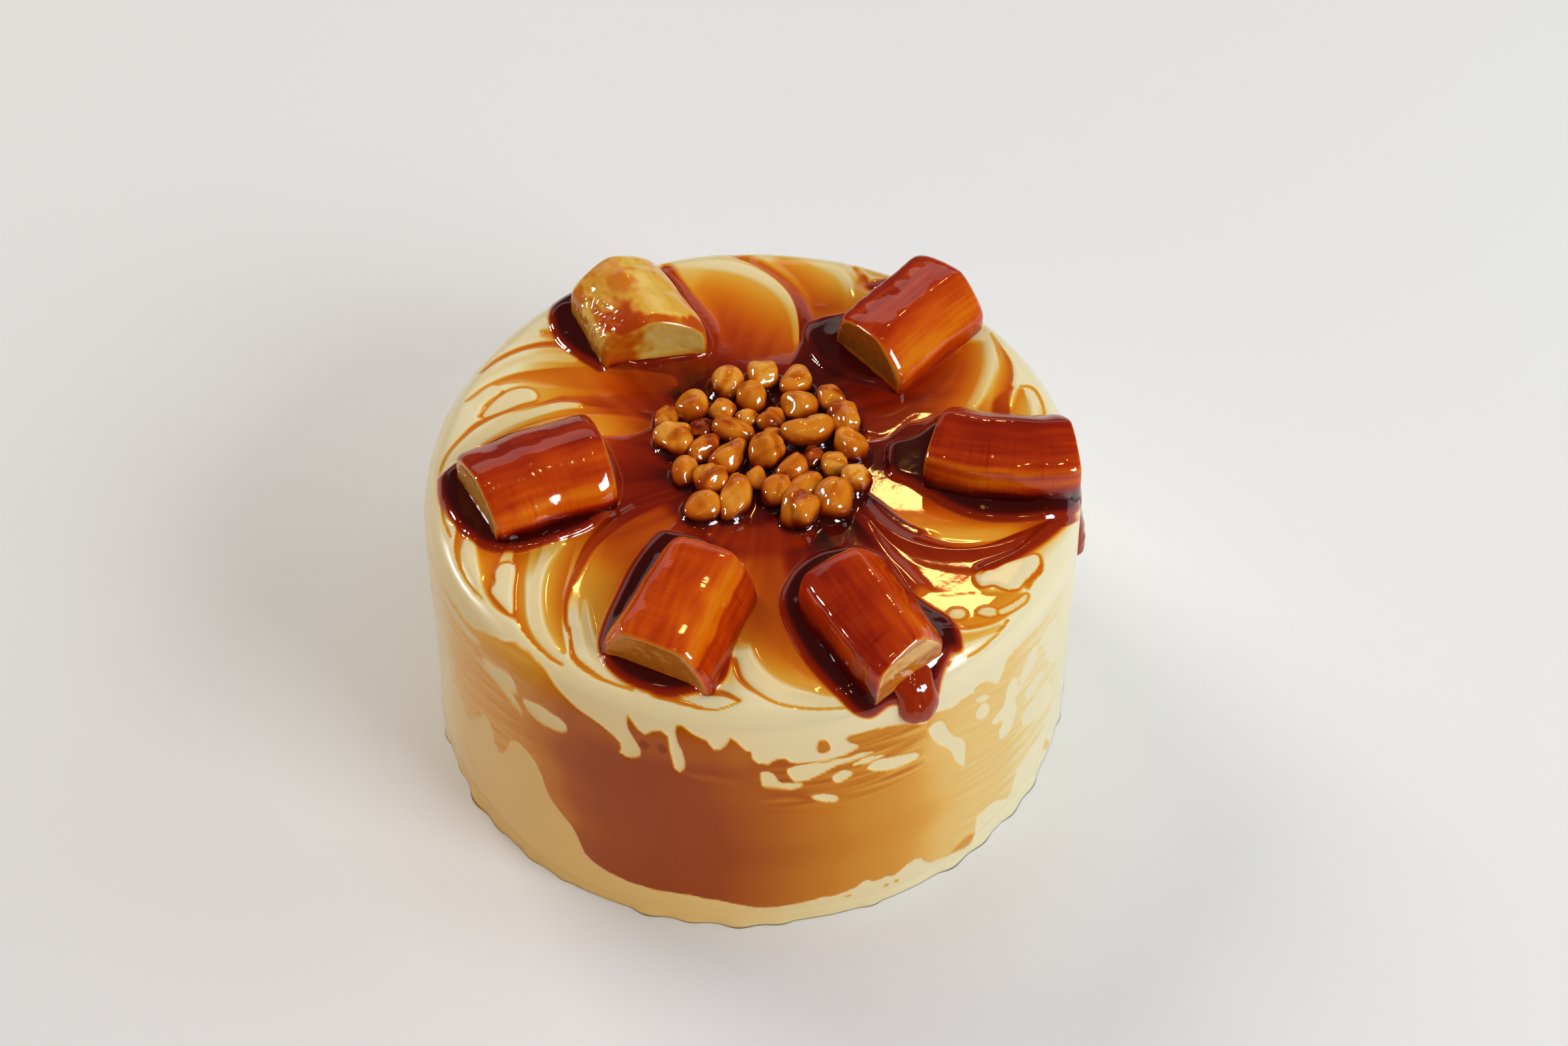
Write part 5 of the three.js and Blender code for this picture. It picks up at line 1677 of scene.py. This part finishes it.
# %% Shade of a piece
def banana_shade(points, across, forward, scale, index, b):
    """Depth of colour of a piece: skin and flesh mixed by the scale of the section, less two thin
    lines round the cut ends, bell curves of that scale, which are painted light along the rounded
    edge."""
    shade = skin_depth(across, forward, index, b)
    flesh, low = flesh_depth(points, forward, index, b)
    # painted light: two thin lighter lines round each cut end
    rim = np.exp(-(((scale - 0.93) / 0.035) ** 2))
    face = 1 - smooth(scale, FACE_SCALE, 0.955)
    painted_face_line = np.exp(-(((scale - 0.90) / 0.02) ** 2)) * (1 - low)
    painted_edge_light = (0.12 * rim * (shade < 0.8) + 0.07 * painted_face_line) * (index != PALE)
    return np.clip(lerp(shade, flesh, face) - painted_edge_light, 0, 1)


print("shades ready for", len(banana_places), "pieces")

# %% Six bananas
for index, b in enumerate(banana_places):
    points, across, forward, scale = banana_grid(b, index)
    shade = banana_shade(points, across, forward, scale, index, b)
    finish, slot = (pale, "pale_banana") if index == PALE else (glazed, "caramelised_banana")
    obj = make_piece(f"banana_piece_{index + 1}", points, dict(depth=shade), finish,
                     ends=(True, True))
    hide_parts(f"banana_{index + 1}")
    print(obj.name, triangles(obj), "triangles, mean depth", round(float(shade.mean()), 2))

# %% [markdown]
# ## Nuts
#
# Roasted nuts, whole and broken, each coated in caramel: a blunt drop shape with soft flats where
# it split, a groove, and sometimes a tip. They could be spheres with a Displace modifier, but
# flats need planes. So each nut is a set of directions times a reach, which starts as a blunt
# oval and is cut by five planes with soft corners. Its own seed keeps it the same on every run.

# %% What differs from nut to nut
BLUNT = {2: 3.0, 10: 2.6, 15: 2.5, 19: 2.6, 28: 2.8, 31: 3.4, 32: 2.7}  # squareness of a few
BENT = {8: 1.4, 14: -0.9, 20: 1.5, 26: 1.6, 29: 0.8}  # how far the ends bend, in mm
TIPPED = {3: 0.2, 14: 0.2, 16: 0.22, 30: 0.2, 32: 0.2, 12: 0.08}  # how far a tip stands out
DARK_NUTS = (13, 21)
SOFTNESS = 13  # sharpness of the corners between two flats
SUNK = 0.275  # level of a nut's middle, as a share of its height
print(len(BLUNT), "blunt,", len(BENT), "bent and", len(TIPPED), "tipped nuts")

# %% Cuts and waves
def unit(n):
    """A direction of length 1."""
    return n / np.linalg.norm(n)


def cut_and_waved(d, index, rng):
    """Reach in each direction d: one over the power mean of its parts, then the soft minimum with
    five planes (minus the log of a sum of exponentials), then times six waves near 1."""
    power = BLUNT.get(index, rng.uniform(2.0, 2.4))
    reach = (np.abs(d) ** power).sum(-1) ** (-1 / power)
    for _ in range(5):
        n = unit(rng.normal(size=3) * (1, 1, 0.8))
        facing = np.maximum(d @ n, 1e-3)
        cut = rng.uniform(0.78, 0.92) / facing
        soft = -np.log(np.exp(-SOFTNESS * reach) + np.exp(-SOFTNESS * cut)) / SOFTNESS
        reach = np.where(facing > 0.3, soft, reach)
    for _ in range(6):
        reach *= 1 + 0.026 * np.sin(d @ rng.normal(scale=3.0, size=3) + rng.uniform(0, 6.3))
    return reach


trial = cut_and_waved(np.eye(3), 0, np.random.default_rng(40))
print("nut 1 reaches", trial.round(2), "of its size along its axes")

# %% Creases and place
def creases(d, rng):
    """A groove, a bell curve of the distance from a plane through the nut, and a dimple, one of
    the angle from a direction, each with its depth."""
    n = unit(rng.normal(size=3) * (1, 1, 0.35))
    upper = smooth(d[..., 2], -0.2, 0.5)
    groove = np.exp(-(((d @ n - rng.uniform(-0.3, 0.3)) / 0.14) ** 2)) * upper
    mark = unit(np.array([rng.uniform(-0.5, 0.5), rng.uniform(-0.6, 0.1), 1.0]))
    dimple = np.exp(-((1 - d @ mark) / 0.05))
    return rng.uniform(0.0, 0.055) * groove, rng.uniform(0.0, 0.05) * dimple


def set_down(f, s, h, spec, degrees, middle):
    """Points of a nut, turned about the vertical and moved to its place in the heap."""
    t = math.radians(degrees)
    x = middle[0] + f * math.cos(t) - s * math.sin(t)
    y = middle[1] + f * math.sin(t) + s * math.cos(t)
    return np.stack([x, y, FLOOR + spec[4] + SUNK * spec[2] + h], -1)


print("a nut's middle is at", SUNK, "of its height")

# %% Shape of a nut
NUT_RINGS, NUT_AROUND = 28, 48


def nut_grid(spec, middle, index):
    """A nut's points, their directions, and how deep each lies in a crease: directions on a globe
    times the reach times half its length, breadth and height, then bent by a parabola."""
    rng = np.random.default_rng(40 + index)
    a, b, c = (0.55 * size + 0.25 for size in spec[:3])
    slope = np.linspace(-np.pi / 2 + 0.05, np.pi / 2 - 0.05, NUT_RINGS)[:, None]
    angle = (np.arange(NUT_AROUND) / NUT_AROUND * 2 * np.pi)[None, :]
    flat = np.cos(slope)
    up = np.sin(slope) * np.ones_like(angle)
    d = np.stack([flat * np.cos(angle), flat * np.sin(angle), up], -1)
    reach = cut_and_waved(d, index, rng)
    groove, dimple = creases(d, rng)
    reach *= 1 - groove - dimple
    reach *= 1 + TIPPED.get(index, 0.04) * np.exp(-((1 - d[..., 0]) / 0.06))
    f, s, h = a * reach * d[..., 0], b * reach * d[..., 1], c * reach * d[..., 2]
    s = s + BENT.get(index, 0) * ((f / a) ** 2 - 0.35)
    return set_down(f, s, h, spec, spec[3], middle), d, 8 * groove + 10 * dimple


points = nut_grid(NUTS[0], nut_middles[0], 0)[0]
print("nut 1 measures", np.ptp(points, axis=(0, 1)).round(1), "mm")

# %% [markdown]
# ## The kidney-shaped nut
#
# The cashew on top of the heap is bent far more than a parabola can bend a drop, so it has its own
# shape: rings of a round section carried along an arc, blunt at both ends and fuller at one. A
# curve object with a bevel and tapered ends would do as well; the grid keeps all nuts alike.

# %% Shape of the cashew
CASHEW_RINGS, CASHEW_AROUND = 60, 56
CASHEW_ARC, CASHEW_GIRTH = 7.3, 5.0  # radius of the arc and of the thickest ring, in mm
CASHEW_BOW = 1.22  # half the angle of the arc, in radians
CASHEW_TURN = 8.0  # degrees


def cashew_grid(spec, middle):
    """Rings along an arc: the girth falls to both ends as the root of 1 less a power of the share
    along, is 13 % fuller at one, and has a waist in the middle."""
    share = np.sin(np.linspace(-1, 1, CASHEW_RINGS) * np.pi / 2)[:, None] * 0.9995
    angle = np.arange(CASHEW_AROUND)[None, :] / CASHEW_AROUND * 2 * np.pi
    bow = CASHEW_BOW * share
    waist = 1 - 0.10 * np.exp(-((share / 0.3) ** 2))
    girth = CASHEW_GIRTH * np.sqrt(1 - np.abs(share) ** 2.8) * (1 + 0.13 * share) * waist
    girth = girth * (1 + 0.03 * np.sin(3 * angle + 4 * share))
    out = CASHEW_ARC - girth * np.cos(angle)
    f, s, h = out * np.sin(bow), CASHEW_ARC - out * np.cos(bow) - 2.4, 0.95 * girth * np.sin(angle)
    points = set_down(f, s, h, spec, spec[3] + CASHEW_TURN, middle)
    d = np.stack([share + 0 * angle, np.cos(angle) + 0 * share, np.sin(angle) + 0 * share], -1)
    crease = 0.5 * np.exp(-((share / 0.2) ** 2)) * np.maximum(np.cos(angle), 0)
    return points, d / np.linalg.norm(d, axis=-1, keepdims=True), crease


points = cashew_grid(NUTS[CASHEW], nut_middles[CASHEW])[0]
print("the cashew measures", np.ptp(points, axis=(0, 1)).round(1), "mm")

# %% [markdown]
# ## How brown a nut is
#
# A nut is nearly black at its foot and darker in its creases, partly where sugar ran down and
# gathered and partly as painted shade; it is golden on top and darker down its sides, which is
# painted light and shade. Ambient occlusion baked to a picture would give the same look;
# direction and height are known here for every point, so no bake is needed.

# %% Thirty-four nuts
def nut_shade(points, d, crease, index):
    """Depth of colour: a base of its own, patches where two waves agree, more at the tip, more in
    the creases and at the foot (sugar that gathered, and partly painted shade), and painted shade
    on the sides."""
    rng = np.random.default_rng(90 + index)
    base = rng.uniform(0.07, 0.24)
    wave = [
        np.sin(d @ rng.normal(scale=k, size=3) + rng.uniform(0, 6.3)) for k in (1.6, 2.4, 5.0, 7.0)
    ]
    patch = 0.05 * wave[0] + 0.20 * smooth(wave[0] * wave[1], 0.1, 0.8) + 0.025 * wave[2] * wave[3]
    tip = smooth(d[..., 0], 0.85, 1.0)
    # darker at the foot: sugar gathered in the pool there, and partly painted shade
    low = 1 - smooth(points[..., 2], FLOOR + 0.5, FLOOR + 3.6)
    # painted shade: darker where the surface turns from the top down the sides
    turned = 1 - smooth(d[..., 2], -0.1, 0.7)
    shade = base + patch + 0.30 * np.minimum(crease, 1) + 0.14 * tip + 0.42 * turned + 0.36 * low
    return np.clip(shade + 0.42 * (index in DARK_NUTS), 0, 1)


nut_triangles = 0
for index, (spec, m) in enumerate(zip(NUTS, nut_middles)):
    points, d, crease = cashew_grid(spec, m) if index == CASHEW else nut_grid(spec, m, index)
    fields = dict(depth=nut_shade(points, d, crease, index))
    obj = make_piece(f"nut_piece_{index + 1:02d}", points, fields, nutty,
                     ends=(True, True))
    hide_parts(f"nut_{index + 1:02d}")
    nut_triangles += triangles(obj)
print("nuts", nut_triangles, "triangles")

# %% [markdown]
# ## Floor and room
#
# A plain pale tabletop in a dim, even room: one large matt face that takes a soft shadow and no
# reflection, and isn't part of the object. The view looks down, so no curved backdrop is needed.

# %% Floor
FLOOR_REACH = 4.0  # metres each way
world = bpy.context.scene.world or bpy.data.worlds.new("soft room")
bpy.context.scene.world = world
world.use_nodes = True
world.node_tree.nodes["Background"].inputs["Color"].default_value = linear("E4E4E4")
world.node_tree.nodes["Background"].inputs["Strength"].default_value = 0.09
# Painted tabletop, rolled and matt: even and without a mirror image, so it has no pattern.
tabletop = new_finish("pale matte tabletop")
surface = add_node(tabletop, "BsdfPrincipled", {
    "Base Color": linear("EEF0F2"), "Roughness": 0.8, "Specular IOR Level": 0.1,
})[0]
add_node(tabletop, "OutputMaterial", {"Surface": surface})
corners = [(-1, -1), (1, -1), (1, 1), (-1, 1)]
mesh = bpy.data.meshes.new("floor")
mesh.from_pydata([(a * FLOOR_REACH, b * FLOOR_REACH, 0) for a, b in corners], [], [(0, 1, 2, 3)])
mesh.materials.append(tabletop)
floor = bpy.data.objects.new("floor", mesh)
bpy.context.scene.collection.objects.link(floor)
print("floor", 2 * FLOOR_REACH, "m wide")

# %% [markdown]
# ## Light
#
# Wet sugar is seen by what it mirrors, and cream by what falls on it. Blender lets a lamp be hidden
# from either, so "matte" lamps light the cake softly and "gloss" lamps are only reflected: windows
# on the right, behind and on the left, a warm patch on the top and four small sparks. One set of
# lamps for both would be truer, but would wash out either the gloss or the cream.

# %% Lamps
AT_CAKE = (0, 0, 0.06)
# name, place, aim, width and height, watts, colour, what it does
LAMPS = [
    ("window_light", (1.5, -1.1, 1.25), AT_CAKE, (0.9, 0.9), 22.5, "F8FBFF", "matte"),
    ("ceiling_light", (0.1, 0.1, 1.9), AT_CAKE, (1.6, 1.6), 9.5, "FFFFFF", "matte"),
    ("right_light", (1.6, 0.3, 1.0), AT_CAKE, (1.2, 1.0), 9, "FCFDFF", "matte"),
    ("left_light", (-1.1, 1.2, 1.5), AT_CAKE, (1.0, 1.0), 19, "FFF0E0", "matte"),
    ("front_light", (0.3, -1.9, 0.9), AT_CAKE, (1.8, 0.9), 0.3, "FFFFFF", "matte"),
    ("warm_bounce", (-0.6, -1.0, 0.14), (0, 0, 0.04), (0.9, 0.26), 2.4, "FFB42C", "matte"),
    ("window_right", (1.15, -0.85, 0.95), AT_CAKE, (0.72, 0.6), 38, "F8FBFF", "gloss"),
    ("window_back", (-0.3, 1.65, 1.08), (-0.3, 0, 0.98), (2.4, 0.8), 5.4, "FFF2F0", "gloss"),
    ("window_left", (-1.46, 0.34, 0.66), AT_CAKE, (0.36, 0.30), 18, "FFFCFC", "gloss"),
    ("gold_lamp", (0.155, 0.94, 1.25), (0.05, -0.04, 0.1), (0.12, 0.085), 1.5, "FFCC78", "gloss"),
]
for number, (x, y) in enumerate([(0.0, -0.25), (0.55, -0.3), (-0.55, -0.55), (0.3, -0.5)]):
    spark = (f"spark_{number + 1}", (x, y, 1.6), AT_CAKE, (0.05, 0.042), 0.6, "FFD27C", "gloss")
    LAMPS.append(spark)
for name, place, aim, size, power, code, duty in LAMPS:
    light = bpy.data.lights.new(name, "AREA")
    light.shape, light.size, light.size_y = "RECTANGLE", size[0], size[1]
    light.energy, light.color = power, linear(code)[:3]
    obj = bpy.data.objects.new(name, light)
    obj.location = place
    away = Vector(np.array(place) - np.array(aim))
    obj.rotation_euler = away.to_track_quat("Z", "Y").to_euler()
    obj.visible_glossy, obj.visible_diffuse = duty == "gloss", duty == "matte"
    bpy.context.scene.collection.objects.link(obj)
print(len(LAMPS), "lamps,", round(sum(lamp[4] for lamp in LAMPS)), "W in all")

# %% [markdown]
# ## Camera
#
# The view looks down on the cake from 48 degrees above the horizon, 0.82 m away, with a 60 mm lens
# on a 36 mm wide frame. Its place was worked out in the cake's own units, from how round the top
# looks. A Track To constraint would aim it too, but it is set once here and needs none.

# %% Camera
UNIT = 0.103  # metres, the radius of the cake, in which the view was measured
ELEVATION, ROLL = math.radians(47.9695), math.radians(0.91727)
DISTANCE, AIM_LEVEL, ASIDE, UPWARDS = 7.98899, 0.961025, -0.10521, 0.18750  # in units
view = np.array([0, math.cos(ELEVATION), -math.sin(ELEVATION)])
right = np.array([1.0, 0, 0])
up = np.array([0, math.sin(ELEVATION), math.cos(ELEVATION)])
eye = (np.array([0, 0, AIM_LEVEL]) - view * DISTANCE - right * ASIDE - up * UPWARDS) * UNIT
camera_right = math.cos(ROLL) * right - math.sin(ROLL) * up
camera_up = math.sin(ROLL) * right + math.cos(ROLL) * up
camera = bpy.data.objects.new("camera", bpy.data.cameras.new("camera"))
camera.data.lens, camera.data.sensor_width, camera.data.dof.use_dof = 60, 36, False
bpy.context.scene.collection.objects.link(camera)
columns = np.stack([camera_right, camera_up, -view, eye], 1)
camera.matrix_world = Matrix([list(row) for row in columns] + [[0, 0, 0, 1]])
bpy.context.scene.camera = camera
bpy.context.scene.view_settings.view_transform = "Standard"
print("camera at", [round(float(v), 3) for v in eye])
